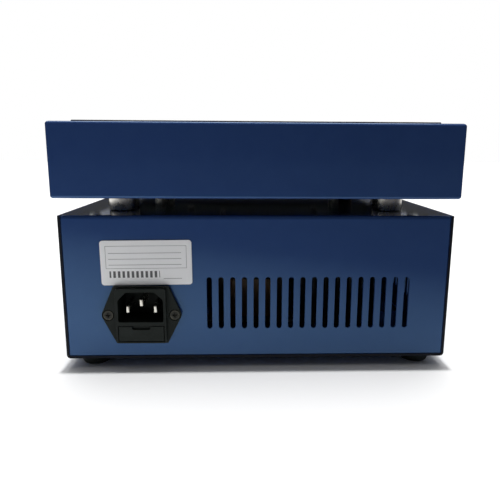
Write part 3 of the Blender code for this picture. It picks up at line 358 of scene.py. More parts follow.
# Grain shared by every finish: a fine grain for gloss and relief and broad soft clouds.
grain, given, result = new_group(
    "surface_grain",
    [("Vector", "NodeSocketVector", None), ("Fine", "NodeSocketFloat", 600.0),
     ("Broad", "NodeSocketFloat", 14.0), ("Detail", "NodeSocketFloat", 3.0)],
    [("Fine", "NodeSocketFloat"), ("Broad", "NodeSocketFloat")])
grain.links.new(noise(grain, given["Vector"], given["Fine"], given["Detail"], 0.55), result["Fine"])
grain.links.new(noise(grain, given["Vector"], given["Broad"], 4.0, 0.6), result["Broad"])

# Edge wear shared by paint, plastic and metal: rubbed patches along outward corners.
wear, given, result = new_group(
    "edge_wear",
    [("Vector", "NodeSocketVector", None), ("Reach", "NodeSocketFloat", 0.06),
     ("Patch Scale", "NodeSocketFloat", 90.0), ("Amount", "NodeSocketFloat", 0.5)],
    [("Mask", "NodeSocketFloat")])
corner = add_node(wear, "ShaderNodeNewGeometry").outputs["Pointiness"]
rise = spread(wear, corner, 0.0, 1.0, 0.505, maths(wear, "ADD", given["Reach"], 0.5))
gate = spread(wear, noise(wear, given["Vector"], given["Patch Scale"], 5.0, 0.7), 0.0, 1.0, 0.42, 0.66)
patches = maths(wear, "MULTIPLY", rise, gate)
wear.links.new(maths(wear, "MULTIPLY", patches, given["Amount"], clamp=True), result["Mask"])

# Dust shared by all finishes: it lies on faces that look up, in loose clouds.
dust, given, result = new_group(
    "settled_dust",
    [("Vector", "NodeSocketVector", None), ("Cloud Scale", "NodeSocketFloat", 35.0),
     ("Amount", "NodeSocketFloat", 0.15)],
    [("Mask", "NodeSocketFloat")])
normal = add_node(dust, "ShaderNodeNewGeometry").outputs["Normal"]
x, y, z = add_node(dust, "ShaderNodeSeparateXYZ", {0: normal}).outputs
gate = spread(dust, noise(dust, given["Vector"], given["Cloud Scale"], 8.0, 0.75), 0.0, 1.0, 0.40, 0.75)
clouds = maths(dust, "MULTIPLY", spread(dust, z, 0.0, 1.0, 0.3, 1.0), gate)
dust.links.new(maths(dust, "MULTIPLY", clouds, given["Amount"], clamp=True), result["Mask"])


def relief(tree, shader, socket, strength, depth):
    """Raises the surface by a height socket; depth is in metres."""
    bump = add_node(tree, "ShaderNodeBump", {"Height": socket, "Strength": strength,
                                             "Distance": depth})
    tree.links.new(bump.outputs["Normal"], shader.inputs["Normal"])


def worn_finish(name, colour, cloudy, worn, rough, scales, bumps, metallic=0.0, reach=0.06,
                amount=0.5, dusty=0.12, gloss=0.5):
    """A finish with clouds in its colour, grain in its gloss, rubbed edges and a little dust.

    A colour of three numbers is read off a screen. rough holds the lowest and the highest
    roughness, scales those of the fine grain and of the clouds, and bumps how strong the grain
    stands out and how deep it is in millimetres.
    """
    colour, cloudy, worn = (from_screen(*tone) if len(tone) == 3 else tone
                            for tone in (colour, cloudy, worn))
    finish = bpy.data.materials.new(name)
    finish.use_nodes = True
    tree = finish.node_tree
    shader = tree.nodes["Principled BSDF"]
    shader.inputs["Metallic"].default_value = metallic
    shader.inputs["Specular IOR Level"].default_value = gloss
    place = add_node(tree, "ShaderNodeTexCoord").outputs["Object"]
    skin = use_group(tree, grain, Vector=place, Fine=scales[0], Broad=scales[1])
    rubbed = use_group(tree, wear, Vector=place, Reach=reach, Amount=amount)
    settled = use_group(tree, dust, Vector=place, Amount=dusty)
    tone = blend_colours(tree, spread(tree, skin.outputs["Broad"], 0.0, 1.0), colour, cloudy)
    tone = blend_colours(tree, rubbed.outputs["Mask"], tone, worn)
    tone = blend_colours(tree, settled.outputs["Mask"], tone, from_screen(150, 148, 142))
    tree.links.new(tone, shader.inputs["Base Color"])
    tree.links.new(spread(tree, skin.outputs["Fine"], *rough), shader.inputs["Roughness"])
    relief(tree, shader, skin.outputs["Fine"], bumps[0], bumps[1] * MM)
    return finish


def dress(piece, finish, body, node):
    """Gives a piece its finish, the body it moves with and the node that it stands for."""
    piece.data.materials.append(finish)
    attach(piece, body)
    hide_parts(node)


slot_width = 2.65 * MM
slot_height = 27.3 * MM
slot_pitch = 5.98 * MM
slot_count = 18
slot_sides = 24
slot_cut = 8.0 * MM
slot_level = 34.8 * MM
sheet = 1.5 * MM
bend = 2.0 * MM
bend_steps = 6
paint_edge = 0.22 * MM
blue_paint = worn_finish("blue_paint", (0.0225, 0.0540, 0.178, 1.0), (0.0245, 0.0580, 0.190, 1.0),
    (0.040, 0.085, 0.230, 1.0), rough=(0.07, 0.11), scales=(900, 9.0), bumps=(0.05, 0.02),
    amount=0.12, dusty=0.05, gloss=0.7)
blue_shader = blue_paint.node_tree.nodes["Principled BSDF"]
blue_shader.inputs["Specular Tint"].default_value = (0.40, 0.72, 1.0, 1.0)

low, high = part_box("base_chassis")
middle_y = (low.y + high.y) / 2
chassis = block("chassis", low, high)
pick(chassis, "FACE", lambda face: face.normal.z > 0.9 or abs(face.normal.y) > 0.9)
bpy.ops.mesh.delete(type="FACE")
round_edges(chassis, lambda edge: edge.is_manifold, bend, bend_steps)
thicken(chassis, sheet)
first_slot = middle_y - (slot_count - 1) / 2 * slot_pitch
for wall in (low.x + sheet / 2, high.x - sheet / 2):
    carve(chassis, slot_tool((wall, first_slot, slot_level), "X", slot_count, slot_pitch))
soften(chassis, paint_edge)
# The cut ends of the chassis sheet, front and rear, get a near-black finish: painted shade, standing in
# for the dark strips of shade along the edges of the sides.
shaded_edge_finish = worn_finish("painted_shade_sheet_edge", (10, 14, 24), (14, 18, 30), (40, 44, 54),
    rough=(0.45, 0.65), scales=(900, 60), bumps=(0.1, 0.02), amount=0.3, dusty=0.0, gloss=0.15)
dress(chassis, blue_paint, "stand", "base_chassis")
chassis.data.materials.append(shaded_edge_finish)
for face in chassis.data.polygons:
    from_end = min(abs(face.center.y - low.y), abs(face.center.y - high.y))
    if abs(face.normal.y) > 0.9 and from_end < bend:
        face.material_index = 1

# Cover of the lower box: the same sheet folded to front, top and rear. It drops between the
# chassis sides, and holds the inlet at the rear and the controls at the front.
low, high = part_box("base_cover")
rear_slot_left = -76.95 * MM
cover = block("box_cover", low, high)
pick(cover, "FACE", lambda face: face.normal.z < -0.9 or abs(face.normal.x) > 0.9)
bpy.ops.mesh.delete(type="FACE")
round_edges(cover, lambda edge: edge.is_manifold, bend, bend_steps)
thicken(cover, sheet)
wall = high.y - sheet / 2
carve(cover, slot_tool((rear_slot_left, wall, slot_level), "Y", slot_count, slot_pitch))
inlet_x, inlet_z = 58.95 * MM, 29.4 * MM
window_x, window_z = -32.0 * MM, 52.9 * MM
switch_x, switch_z = 64.0 * MM, 39.9 * MM
openings = [(inlet_x, inlet_z, 12.7, 14.1, high.y), (window_x, window_z, 26.3, 11.3, low.y),
            (switch_x, switch_z, 6.7, 9.9, low.y)]
for *sizes, y in openings:
    carve(cover, slab("opening", *sizes, y - 3 * sheet, y + 3 * sheet))
button_places = [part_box("button_" + str(number)) for number in (1, 2, 3, 4)]
button_hole = 4.1 * MM
for corner_low, corner_high in button_places:
    place = ((corner_low.x + corner_high.x) / 2, low.y, (corner_low.z + corner_high.z) / 2)
    carve(cover, cylinder(32, button_hole, 6 * sheet, place, (pi / 2, 0, 0)))
soften(cover, paint_edge)
dress(cover, blue_paint, "stand", "base_cover")


# Feet: tapered black rubber, moulded with a recess for the screw that holds each one.
def turned_blank(name, sides, rings, centre=(0, 0, 0)):
    """A round blank drawn up ring by ring; each ring is a radius and a height in millimetres."""
    rings = [(radius * MM, height * MM) for radius, height in rings]
    x, y, z = centre
    radius, height = rings[0]
    bpy.ops.object.select_all(action="DESELECT")
    bpy.ops.mesh.primitive_circle_add(vertices=sides, radius=radius, fill_type="NGON",
                                      location=(x, y, z + height))
    piece = bpy.context.object
    piece.name = piece.data.name = name
    bpy.ops.object.transform_apply(location=True, rotation=True, scale=True)
    bpy.ops.object.mode_set(mode="EDIT")
    bpy.ops.mesh.select_all(action="SELECT")
    for new_radius, new_height in rings[1:]:
        bpy.ops.mesh.extrude_region_move(
            TRANSFORM_OT_translate={"value": (0, 0, new_height - height)})
        growth = new_radius / radius
        bpy.ops.transform.resize(value=(growth, growth, 1), center_override=(x, y, z + new_height))
        radius, height = new_radius, new_height
    close_edit()
    faces_out(piece)
    return piece


def seat_of(low, high):
    """The middle of the lower face of a box."""
    return ((low.x + high.x) / 2, (low.y + high.y) / 2, low.z)


rubber = worn_finish("foot_rubber", (15, 21, 20), (20, 26, 24), (62, 64, 60), rough=(0.62, 0.80),
    scales=(1400, 60), bumps=(0.12, 0.03), amount=0.3, dusty=0.1, gloss=0.3)
foot_rings = [(4.2, 2.9), (4.2, 0.4), (4.6, 0.0), (6.0, 0.0), (6.7, 0.3), (7.1, 1.0), (8.2, 3.9),
              (8.3, 4.3), (8.25, 4.6), (7.9, 4.8)]
corners = ("front_left", "front_right", "rear_left", "rear_right")
for place in corners:
    low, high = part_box("foot_" + place)
    foot = turned_blank("rubber_foot_" + place, 48, foot_rings, seat_of(low, high))
    smooth()
    dress(foot, rubber, "stand", "foot_" + place)


# Small screws: pan heads of zinc-plated steel with a cross recess. They hold the feet, the
# sides of the cover and the tray's pan.
def move_to(piece, place, turn=(0, 0, 0)):
    """Turns a piece made at the origin, puts it in place and keeps the place in its mesh."""
    take(piece)
    piece.rotation_mode = "XYZ"
    piece.rotation_euler = turn
    piece.location = place
    bpy.ops.object.transform_apply(location=True, rotation=True, scale=True)


def drill(piece, name, sides, rings, place, turn=(0, 0, 0), operation="DIFFERENCE"):
    """Cuts a turned form out of a piece, or joins it on."""
    tool = turned_blank(name, sides, rings)
    move_to(tool, place, turn)
    carve(piece, tool, operation)


def twin(piece, name):
    """A copy of a piece with a mesh of its own."""
    other = piece.copy()
    other.data = piece.data.copy()
    other.name = other.data.name = name
    bpy.context.scene.collection.objects.link(other)
    return other


def cross_tool(width, blade, depth, top):
    """The tip of a cross-point driver, pressed into a head whose top is at this height."""
    tip = block("driver", (-width / 2, -blade / 2, top - depth), (width / 2, blade / 2, top + depth))
    pick(tip, "FACE", lambda face: face.normal.z < -0.9)
    bpy.ops.transform.resize(value=(0.35, 0.7, 1), center_override=(0, 0, top - depth))
    close_edit()
    other = twin(tip, "driver_across")
    move_to(other, (0, 0, 0), (0, 0, pi / 2))
    carve(tip, other, "UNION")
    return tip


def pan_screw(name, head_height):
    """A pan-head screw that stands on the origin with its shank below; the height is in mm."""
    rings = [(0.5, -5.0), (2.0, -4.2), (2.0, 0.0), (3.45, 0.0), (3.6, 0.12), (3.6, 0.40),
             (3.45, 0.62), (3.0, 0.84), (2.2, 0.97), (1.0, 1.0)]
    rings = [(radius, height * (head_height if height > 0 else 1)) for radius, height in rings]
    screw = turned_blank(name, 40, rings)
    carve(screw, cross_tool(4.0 * MM, 0.9 * MM, head_height * 0.62 * MM, head_height * MM))
    take(screw)
    smooth()
    return screw


zinc = worn_finish("zinc_plate", (168, 170, 168), (150, 153, 152), (196, 197, 194),
    rough=(0.26, 0.42), scales=(700, 120), bumps=(0.15, 0.01), metallic=1.0, amount=0.4,
    dusty=0.05)
tall_screw = pan_screw("tall_screw", 2.2)
flat_screw = pan_screw("flat_screw", 1.2)
screw_sets = [("foot_screw_", tall_screw, (pi, 0, 0)), ("tray_screw_", tall_screw, (pi, 0, 0)),
              ("cover_screw_", flat_screw, None)]
for kind, model, turn in screw_sets:
    for place in corners:
        low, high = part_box(kind + place)
        centre = (low + high) / 2
        screw = twin(model, kind + "head_" + place)
        if turn is None:
            side = 1 if centre.x > 0 else -1
            seat = high.x - 1.2 * MM if side > 0 else low.x + 1.2 * MM
            move_to(screw, (seat, centre.y, centre.z), (0, side * pi / 2, 0))
        else:
            move_to(screw, (centre.x, centre.y, low.z + 2.2 * MM), turn)
        dress(screw, zinc, "stand", kind + place)
for model in (tall_screw, flat_screw):
    bpy.data.objects.remove(model, do_unlink=True)

# Mains inlet: a black moulding with a flange and two ears, a raised block, a socket with two
# cut corners and, below it, the slot for the fuse drawer.
def along(edge, axis):
    """True for an edge that runs along the axis: 0 is X, 1 is Y and 2 is Z."""
    return abs((edge.verts[0].co - edge.verts[1].co).normalized()[axis]) > 0.9


black_plastic = worn_finish("black_plastic", (14, 22, 19), (17, 25, 21), (52, 58, 55),
    rough=(0.48, 0.62), scales=(1800, 40), bumps=(0.14, 0.02), amount=0.25, dusty=0.06, gloss=0.2)
low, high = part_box("inlet_body")
body_depth, flange_thick = 18.0 * MM, 2.5 * MM
seat_y = low.y + body_depth
flange_front = seat_y + flange_thick
block_front = high.y
ear_x = 16.8 * MM
ear_radius = 3.3 * MM
flat_above, flat_below, rise_half = 13.9 * MM, 13.1 * MM, 14.9 * MM
ear_steps = 8
inlet = block("inlet_moulding", (inlet_x - 30 * MM, seat_y, inlet_z - rise_half),
              (inlet_x + 30 * MM, flange_front, inlet_z + rise_half))
slopes = []
for flat, way in ((flat_above, 1), (flat_below, -1)):
    reach = hypot(flat - ear_x, rise_half)
    slopes.append(atan2(rise_half, flat - ear_x) - acos(ear_radius / reach))
    for side in (-1, 1):
        pick(inlet, "FACE", lambda face: True)
        bpy.ops.mesh.bisect(plane_co=(inlet_x + side * flat, seat_y, inlet_z + way * rise_half),
                            plane_no=(side * cos(slopes[-1]), 0, way * sin(slopes[-1])),
                            use_fill=True, clear_outer=True)
close_edit()
tip_reach = max(point.co.x for point in inlet.data.vertices) - inlet_x - 0.01 * MM
round_edges(inlet, lambda edge: all(abs(point.co.x - inlet_x) > tip_reach for point in edge.verts),
            ear_radius * tan(sum(slopes) / 2), ear_steps)
raised = slab("inlet_block", inlet_x, inlet_z, 12.7, 14.2, seat_y + 1.0 * MM, block_front)
round_edges(raised, lambda edge: along(edge, 1), 1.2 * MM, 4)
carve(inlet, raised, "UNION")
carve(inlet, slab("inlet_back", inlet_x, inlet_z, 12.4, 13.8, low.y, seat_y + 1.0 * MM), "UNION")
socket_z = inlet_z + 4.8 * MM
socket_depth, past_front = 17.0 * MM, 3 * MM
socket = slab("socket", inlet_x, socket_z, 11.3, 7.75, block_front - socket_depth,
              block_front + past_front)
round_edges(socket, lambda edge: min(point.co.z for point in edge.verts) > socket_z
            and along(edge, 1), 4.2 * MM, 1)
round_edges(socket, lambda edge: along(edge, 1), 0.8 * MM, 3)
carve(inlet, socket)
drawer_z = inlet_z - 9.2 * MM
for half_width, depth, half_height in ((11.6, 1.9, 4.2), (11.3, 16.3, 3.5)):
    carve(inlet, slab("drawer_slot", inlet_x, drawer_z, half_width, half_height,
                      block_front - depth * MM, block_front + past_front))
for side in (-1, 1):
    x = inlet_x + side * ear_x
    drill(inlet, "screw_seat", 32, [(1.8, -4), (1.8, -1.5), (2.9, -0.4), (2.9, 1)],
          (x, flange_front, inlet_z), (-pi / 2, 0, 0))
soften(inlet, 0.25 * MM, 2, 35)
dress(inlet, black_plastic, "stand", "inlet_body")

# Inlet pins: three bright blades of nickel-plated brass with rounded tips.
pin_metal = worn_finish("pin_metal", (214, 212, 204), (200, 197, 186), (226, 222, 210),
    rough=(0.18, 0.30), scales=(500, 90), bumps=(0.1, 0.01), metallic=1.0, amount=0.3, dusty=0.0)
for name in ("live", "neutral", "earth"):
    low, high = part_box("inlet_pin_" + name)
    pin = block("socket_pin_" + name, low, high)
    round_edges(pin, lambda face: face.normal.y > 0.9, 0.92 * MM, 6, "FACE")
    soften(pin, 0.2 * MM, 2, 60)
    dress(pin, pin_metal, "stand", "inlet_pin_" + name)

# Inlet screws: two countersunk screws, blackened, with a cross recess, one in each ear.
black_screw = worn_finish("blackened_steel", (12, 14, 12), (22, 22, 16), (96, 94, 82),
    rough=(0.26, 0.40), scales=(600, 150), bumps=(0.15, 0.01), metallic=0.6, amount=0.7,
    dusty=0.02)
for place in ("left", "right"):
    low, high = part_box("inlet_screw_" + place)
    rings = [(0.6, -9.0), (1.5, -8.3), (1.5, -1.6), (2.6, -0.45), (2.6, -0.12), (2.5, 0.0)]
    screw = turned_blank("ear_screw_" + place, 36, rings)
    carve(screw, cross_tool(3.2 * MM, 0.7 * MM, 1.0 * MM, 0.0))
    centre = (low + high) / 2
    move_to(screw, (centre.x, high.y, centre.z), (-pi / 2, 0, 0))
    smooth()
    dress(screw, black_screw, "stand", "inlet_screw_" + place)

# Fuse drawer: a small moulded tray that pulls out under the socket, with a finger notch in
# its front and the fuse lying across it.
low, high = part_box("fuse_drawer")
lid_thick, lid_half, notch_half, notch_depth = 1.6 * MM, 3.9 * MM, 4.6 * MM, 1.2 * MM
front = block("fuse_drawer_tray", (low.x, high.y - lid_thick, drawer_z - lid_half),
              (high.x, high.y, drawer_z + lid_half))
carve(front, slab("drawer_body", inlet_x, drawer_z, 11, 3.2, low.y, high.y - 0.8 * MM), "UNION")
notch = block("notch", (inlet_x - notch_half, high.y - notch_depth, drawer_z + 2.3 * MM),
              (inlet_x + notch_half, high.y + 2 * MM, drawer_z + 6 * MM))
round_edges(notch, lambda edge: max(point.co.z for point in edge.verts) < drawer_z + 3 * MM
            and abs((edge.verts[0].co - edge.verts[1].co).y) > 1 * MM, 1.0 * MM, 4)
carve(front, notch)
fuse_low, fuse_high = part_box("fuse")
bay_gap = 0.3 * MM
carve(front, block("bay", (fuse_low.x - bay_gap, fuse_low.y - bay_gap, fuse_low.z - bay_gap),
                   (fuse_high.x + bay_gap, fuse_high.y + bay_gap, drawer_z + 6 * MM)))
soften(front, 0.25 * MM, 2, 40)
dress(front, black_plastic, "fuse_drawer", "fuse_drawer")

# Fuse: a glass tube with a nickel cap crimped on each end and a thin wire through it. It lies
# in the drawer and comes out with it.
clear_glass = worn_finish("fuse_glass", (0.92, 0.95, 0.94, 1.0), (0.88, 0.92, 0.91, 1.0),
    (0.95, 0.96, 0.96, 1.0), rough=(0.02, 0.06), scales=(300, 20), bumps=(0.02, 0.01), dusty=0.02)
clear_glass.node_tree.nodes["Principled BSDF"].inputs["Transmission Weight"].default_value = 1.0
fuse_middle = (fuse_low + fuse_high) / 2
fuse_parts = [
    ("fuse_tube", clear_glass, "glass", 0,
     [(1.0, -9.4), (2.1, -9.2), (2.25, -8.9), (2.25, 8.9), (2.1, 9.2), (1.0, 9.4)]),
    ("fuse_cap_left", pin_metal, "glass", -7.5,
     [(2.0, -2.5), (2.35, -2.4), (2.5, -2.2), (2.5, 1.9), (2.4, 2.2), (2.46, 2.5), (2.3, 2.5)]),
    ("fuse_cap_right", pin_metal, "glass", 7.5,
     [(2.3, -2.5), (2.46, -2.5), (2.4, -2.2), (2.5, -1.9), (2.5, 2.2), (2.35, 2.4), (2.0, 2.5)]),
    ("fuse_wire", pin_metal, "glass", 0,
     [(0.12, -8.0), (0.16, -2.0), (0.12, 0.0), (0.16, 2.0), (0.12, 8.0)]),
]
fuse_y = fuse_high.y - 2.5 * MM
for name, finish, slot, along_x, rings in fuse_parts:
    part = turned_blank(name, 36, rings)
    move_to(part, (fuse_middle.x + along_x * MM, fuse_y, fuse_middle.z), (0, pi / 2, 0))
    smooth()
    dress(part, finish, "fuse_drawer", "fuse")

# Rating label: silver polyester film with round corners, stuck on a little crooked. It is
# left without words: a thin frame, three blank lines and a row of even bars.
label_width, label_height = 45.6 * MM, 22.9 * MM
label_x, label_z = 56.05 * MM, 56.15 * MM
label_turn = radians(0.55)
low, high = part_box("rating_label")
label = block("silver_label", (-label_width / 2, 0, -label_height / 2),
              (label_width / 2, high.y - low.y, label_height / 2))
round_edges(label, lambda edge: along(edge, 1), 1.5 * MM, 6)
soften(label, 0.04 * MM, 1, 60)
move_to(label, (label_x, low.y, label_z), (0, label_turn, 0))


def stripe(tree, socket, start, stop, edge=0.03 * MM):
    """A mask that is one between two places along an axis."""
    return maths(tree, "MULTIPLY", spread(tree, socket, 0.0, 1.0, start - edge, start + edge),
                 spread(tree, socket, 1.0, 0.0, stop - edge, stop + edge))


def panel_mask(tree, across, up, left, right, bottom, top):
    """A filled rectangle as a mask."""
    return maths(tree, "MULTIPLY", stripe(tree, across, left, right), stripe(tree, up, bottom, top))


def print_on(finish, mask, ink):
    """Lays a colour over a finish where the mask is one."""
    colour = finish.node_tree.nodes["Principled BSDF"].inputs["Base Color"]
    under = colour.links[0].from_socket
    finish.node_tree.links.new(blend_colours(finish.node_tree, mask, under, ink), colour)


film = worn_finish("silver_film", (250, 251, 252), (244, 245, 247), (250, 251, 252),
    rough=(0.30, 0.40), scales=(900, 30), bumps=(0.05, 0.01), amount=0.4, dusty=0.0, gloss=1.0)
tree = film.node_tree
across, outward, up = place_axes(tree, (label_x, low.y, label_z), (0, label_turn, 0))
line = 0.16 * MM
frame_left, frame_right, frame_low, frame_high = -20.2 * MM, 20.2 * MM, -2.9 * MM, 8.7 * MM
print_marks = [(frame_left, frame_right, frame_high - line, frame_high),
               (frame_left, frame_right, frame_low, frame_low + line),
               (frame_left, frame_left + line, frame_low, frame_high),
               (frame_right - line, frame_right, frame_low, frame_high),
               (-17.6 * MM, 18.8 * MM, 4.9 * MM, 5.1 * MM),
               (-17.6 * MM, 18.8 * MM, 1.9 * MM, 2.1 * MM),
               (-17.6 * MM, 18.8 * MM, -1.1 * MM, -0.9 * MM),
               (-17.6 * MM, -8.4 * MM, -8.3 * MM, -8.1 * MM)]
bars = maths(tree, "LESS_THAN", maths(tree, "PINGPONG", across, 1.15 * MM), 0.62 * MM)
band = panel_mask(tree, across, up, -6.6 * MM, 18.6 * MM, -7.6 * MM, -4.2 * MM)
printed = maths(tree, "MULTIPLY", band, bars)
for sides in print_marks:
    printed = maths(tree, "MAXIMUM", printed, panel_mask(tree, across, up, *sides))
print_on(film, printed, from_screen(52, 53, 58))
dress(label, film, "stand", "rating_label")

# Display window: a smoked red pane whose lip rests on the front of the box and whose neck
# snaps into the opening. The digits behind it show only when they are lit.
def join_up(name, pieces):
    """Makes one piece of several that touch or sit side by side."""
    take(pieces[0])
    for piece in pieces:
        piece.select_set(True)
    bpy.ops.object.join()
    pieces[0].name = pieces[0].data.name = name
    return pieces[0]


smoked = worn_finish("smoked_pane", (0.45, 0.012, 0.016, 1.0), (0.40, 0.010, 0.014, 1.0),
    (0.50, 0.05, 0.05, 1.0), rough=(0.02, 0.05), scales=(300, 20), bumps=(0.02, 0.01), amount=0.1,
    dusty=0.01)
smoked.node_tree.nodes["Principled BSDF"].inputs["Transmission Weight"].default_value = 1.0
front_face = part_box("base_cover")[0].y
low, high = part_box("display_window")
window_lip, window_seat = 2.5 * MM, 0.3 * MM
pane = block("window_pane", low, (high.x, front_face - window_seat, high.z))
round_edges(pane, lambda edge: along(edge, 1), 2.0 * MM, 5)
inset_faces(pane, lambda face: face.normal.y < -0.9, window_lip, -0.4 * MM)
carve(pane, block("window_neck", (low.x + window_lip, front_face - 0.7 * MM, low.z + window_lip),
                  (high.x - window_lip, high.y, high.z - window_lip)), "UNION")
soften(pane, 0.25 * MM)
dress(pane, smoked, "stand", "display_window")

# Push buttons: four dished caps of grey plastic. Each slides in its hole, with a flange
# behind the panel and a stem that presses a small switch on the board.
grey_plastic = worn_finish("grey_plastic", (96, 100, 102), (88, 92, 95), (140, 142, 142),
    rough=(0.38, 0.52), scales=(1500, 60), bumps=(0.10, 0.02), reach=0.04, amount=0.4, dusty=0.05,
    gloss=0.35)
cap_rings = [(1.6, -5.3), (2.0, -5.0), (2.0, -2.8), (5.0, -2.8), (5.0, -1.8), (3.8, -1.8),
             (3.8, 1.25), (3.68, 1.58), (3.35, 1.8), (2.9, 1.78), (2.0, 1.62), (1.0, 1.52),
             (0.4, 1.5)]
for number, (low, high) in enumerate(button_places, start=1):
    cap = turned_blank("button_cap_" + str(number), 48, cap_rings)
    move_to(cap, ((low.x + high.x) / 2, front_face, (low.z + high.z) / 2), (pi / 2, 0, 0))
    smooth()
    dress(cap, grey_plastic, "button_" + str(number) + "_cap", "button_" + str(number))

# Control board: green glass-fibre board on studs behind the front. It carries the display
# block with three digits, the switches of the buttons, a small supply and the relay.
solder_mask = worn_finish("solder_mask", (0.010, 0.085, 0.040, 1.0), (0.014, 0.110, 0.052, 1.0),
    (0.30, 0.25, 0.12, 1.0), rough=(0.28, 0.42), scales=(1200, 220), bumps=(0.12, 0.03),
    amount=0.4, dusty=0.05)
module_black = worn_finish("module_black", (24, 25, 26), (32, 33, 34), (70, 70, 70),
    rough=(0.45, 0.6), scales=(1500, 60), bumps=(0.1, 0.02), amount=0.3, dusty=0.05)
unlit = worn_finish("unlit_segment", (205, 196, 190), (196, 186, 180), (220, 215, 210),
    rough=(0.35, 0.5), scales=(1500, 60), bumps=(0.05, 0.01), dusty=0.0)
relay_blue = worn_finish("relay_case", (0.020, 0.075, 0.250, 1.0), (0.026, 0.090, 0.280, 1.0),
    (0.10, 0.18, 0.36, 1.0), rough=(0.35, 0.5), scales=(1500, 60), bumps=(0.08, 0.02), amount=0.3,
    dusty=0.06)
tinned = worn_finish("tinned_metal", (186, 186, 182), (168, 168, 164), (206, 206, 200),
    rough=(0.3, 0.46), scales=(700, 120), bumps=(0.12, 0.01), metallic=1.0, amount=0.4, dusty=0.04)
low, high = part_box("control_board")
board_front = low.y + 6.3 * MM
board_back = board_front + 1.6 * MM
board = block("circuit_board", (low.x, board_front, low.z), (high.x, board_back, high.z))
round_edges(board, lambda edge: along(edge, 1), 2.5 * MM, 5)
stud_inset = 4.5 * MM
for x in (low.x + stud_inset, high.x - stud_inset):
    for z in (low.z + stud_inset, high.z - stud_inset):
        drill(board, "stud_hole", 24, [(1.6, -5), (1.6, 5)], (x, board_front, z), (pi / 2, 0, 0))
soften(board, 0.15 * MM)
dress(board, solder_mask, "stand", "control_board")

display = slab("display_block", window_x, window_z, 26, 11, low.y + 0.25 * MM,
               board_front + 0.3 * MM)
inset_faces(display, lambda face: face.normal.y > 0.9, 1.2 * MM)
soften(display, 0.3 * MM)
dress(display, module_black, "stand", "control_board")

segment_half, segment_wide = 3.4 * MM, 0.9 * MM
segment = block("segment", (-segment_half, -0.3 * MM, -segment_wide),
                (segment_half, 0.1 * MM, segment_wide))
round_edges(segment, lambda edge: along(edge, 1), segment_wide * 0.98, 1)
places = [(0, 7.4, 0), (0, 0, 0), (0, -7.4, 0), (-3.9, 3.7, 1), (3.9, 3.7, 1), (-3.9, -3.7, 1),
          (3.9, -3.7, 1)]
segments = []
for digit in (-1, 0, 1):
    for across, up, upright in places:
        bar = twin(segment, "digit_segment")
        move_to(bar, (window_x + (digit * 15.5 + across) * MM, low.y + 0.3 * MM, window_z + up * MM),
                (0, upright * pi / 2, 0))
        segments.append(bar)
bpy.data.objects.remove(segment, do_unlink=True)
digits = join_up("display_digits", segments)
dress(digits, unlit, "stand", "control_board")

for number, (cap_low, cap_high) in enumerate(button_places, start=1):
    x, z = (cap_low.x + cap_high.x) / 2, (cap_low.z + cap_high.z) / 2
    switch = slab("key_switch_" + str(number), x, z, 3, 3, board_front - 2.2 * MM,
                  board_front + 0.3 * MM)
    inset_faces(switch, lambda face: face.normal.y < -0.9, 0.5 * MM, 0.2 * MM)
    drill(switch, "plunger", 28, [(1.75, 0), (1.75, 3.3), (1.5, 3.5)], (x, board_front, z),
          (pi / 2, 0, 0), "UNION")
    soften(switch, 0.12 * MM)
    dress(switch, module_black, "stand", "control_board")

supply_z = (low.z + high.z) / 2 - 2.2 * MM
supply = slab("small_supply", window_x - 11.2 * MM, supply_z, 11.2, 11.25,
              board_back - 0.3 * MM, board_back + 7 * MM)
relay = slab("relay", window_x + 28 * MM, (low.z + high.z) / 2, 9.3, 10.8,
             board_back - 0.3 * MM, high.y)
for piece, finish in ((supply, module_black), (relay, relay_blue)):
    round_edges(piece, lambda edge: along(edge, 1), 0.8 * MM, 3)
    inset_faces(piece, lambda face: face.normal.y > 0.9, 1.0 * MM, -0.3 * MM)
    soften(piece, 0.25 * MM)
    dress(piece, finish, "stand", "control_board")

# Power switch: a black snap-in frame with a pocket for the rocker and two flat terminals on
# its back, held in the front of the box by its bezel.
low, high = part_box("switch_frame")
bezel_back = low.y + 2.0 * MM
body_back = high.y - 6.0 * MM
pivot = Vector((switch_x, front_face + 0.7 * MM, switch_z))
bezel = block("switch_bezel", low, (high.x, bezel_back, high.z))
round_edges(bezel, lambda edge: along(edge, 1), 1.2 * MM, 5)
switch_body = slab("switch_body", switch_x, switch_z, 6.4, 9.6, bezel_back - 1 * MM, body_back)
inset_faces(switch_body, lambda face: face.normal.y > 0.9, 1.2 * MM, -0.5 * MM)
carve(bezel, switch_body, "UNION")
carve(bezel, slab("pocket", switch_x, switch_z, 5.55, 8.95, low.y - 2 * MM, pivot.y + 4.5 * MM))
drill(bezel, "pin_hole", 24, [(1.6, -6.1), (1.6, 6.1)], pivot, (0, pi / 2, 0))
soften(bezel, 0.35 * MM, 3)
dress(bezel, black_plastic, "stand", "switch_frame")
for name, z in (("upper", switch_z + 4.8 * MM), ("lower", switch_z - 4.8 * MM)):
    tab = slab("switch_terminal_" + name, switch_x, z, 2.6, 0.4, body_back - 1.5 * MM, high.y)
    round_edges(tab, lambda edge: along(edge, 2) and edge.verts[0].co.y > body_back, 1.2 * MM, 1)
    drill(tab, "eye", 20, [(0.9, -2), (0.9, 2)], (switch_x, high.y - 2.6 * MM, z))
    soften(tab, 0.1 * MM, 1)
    dress(tab, tinned, "stand", "switch_frame")

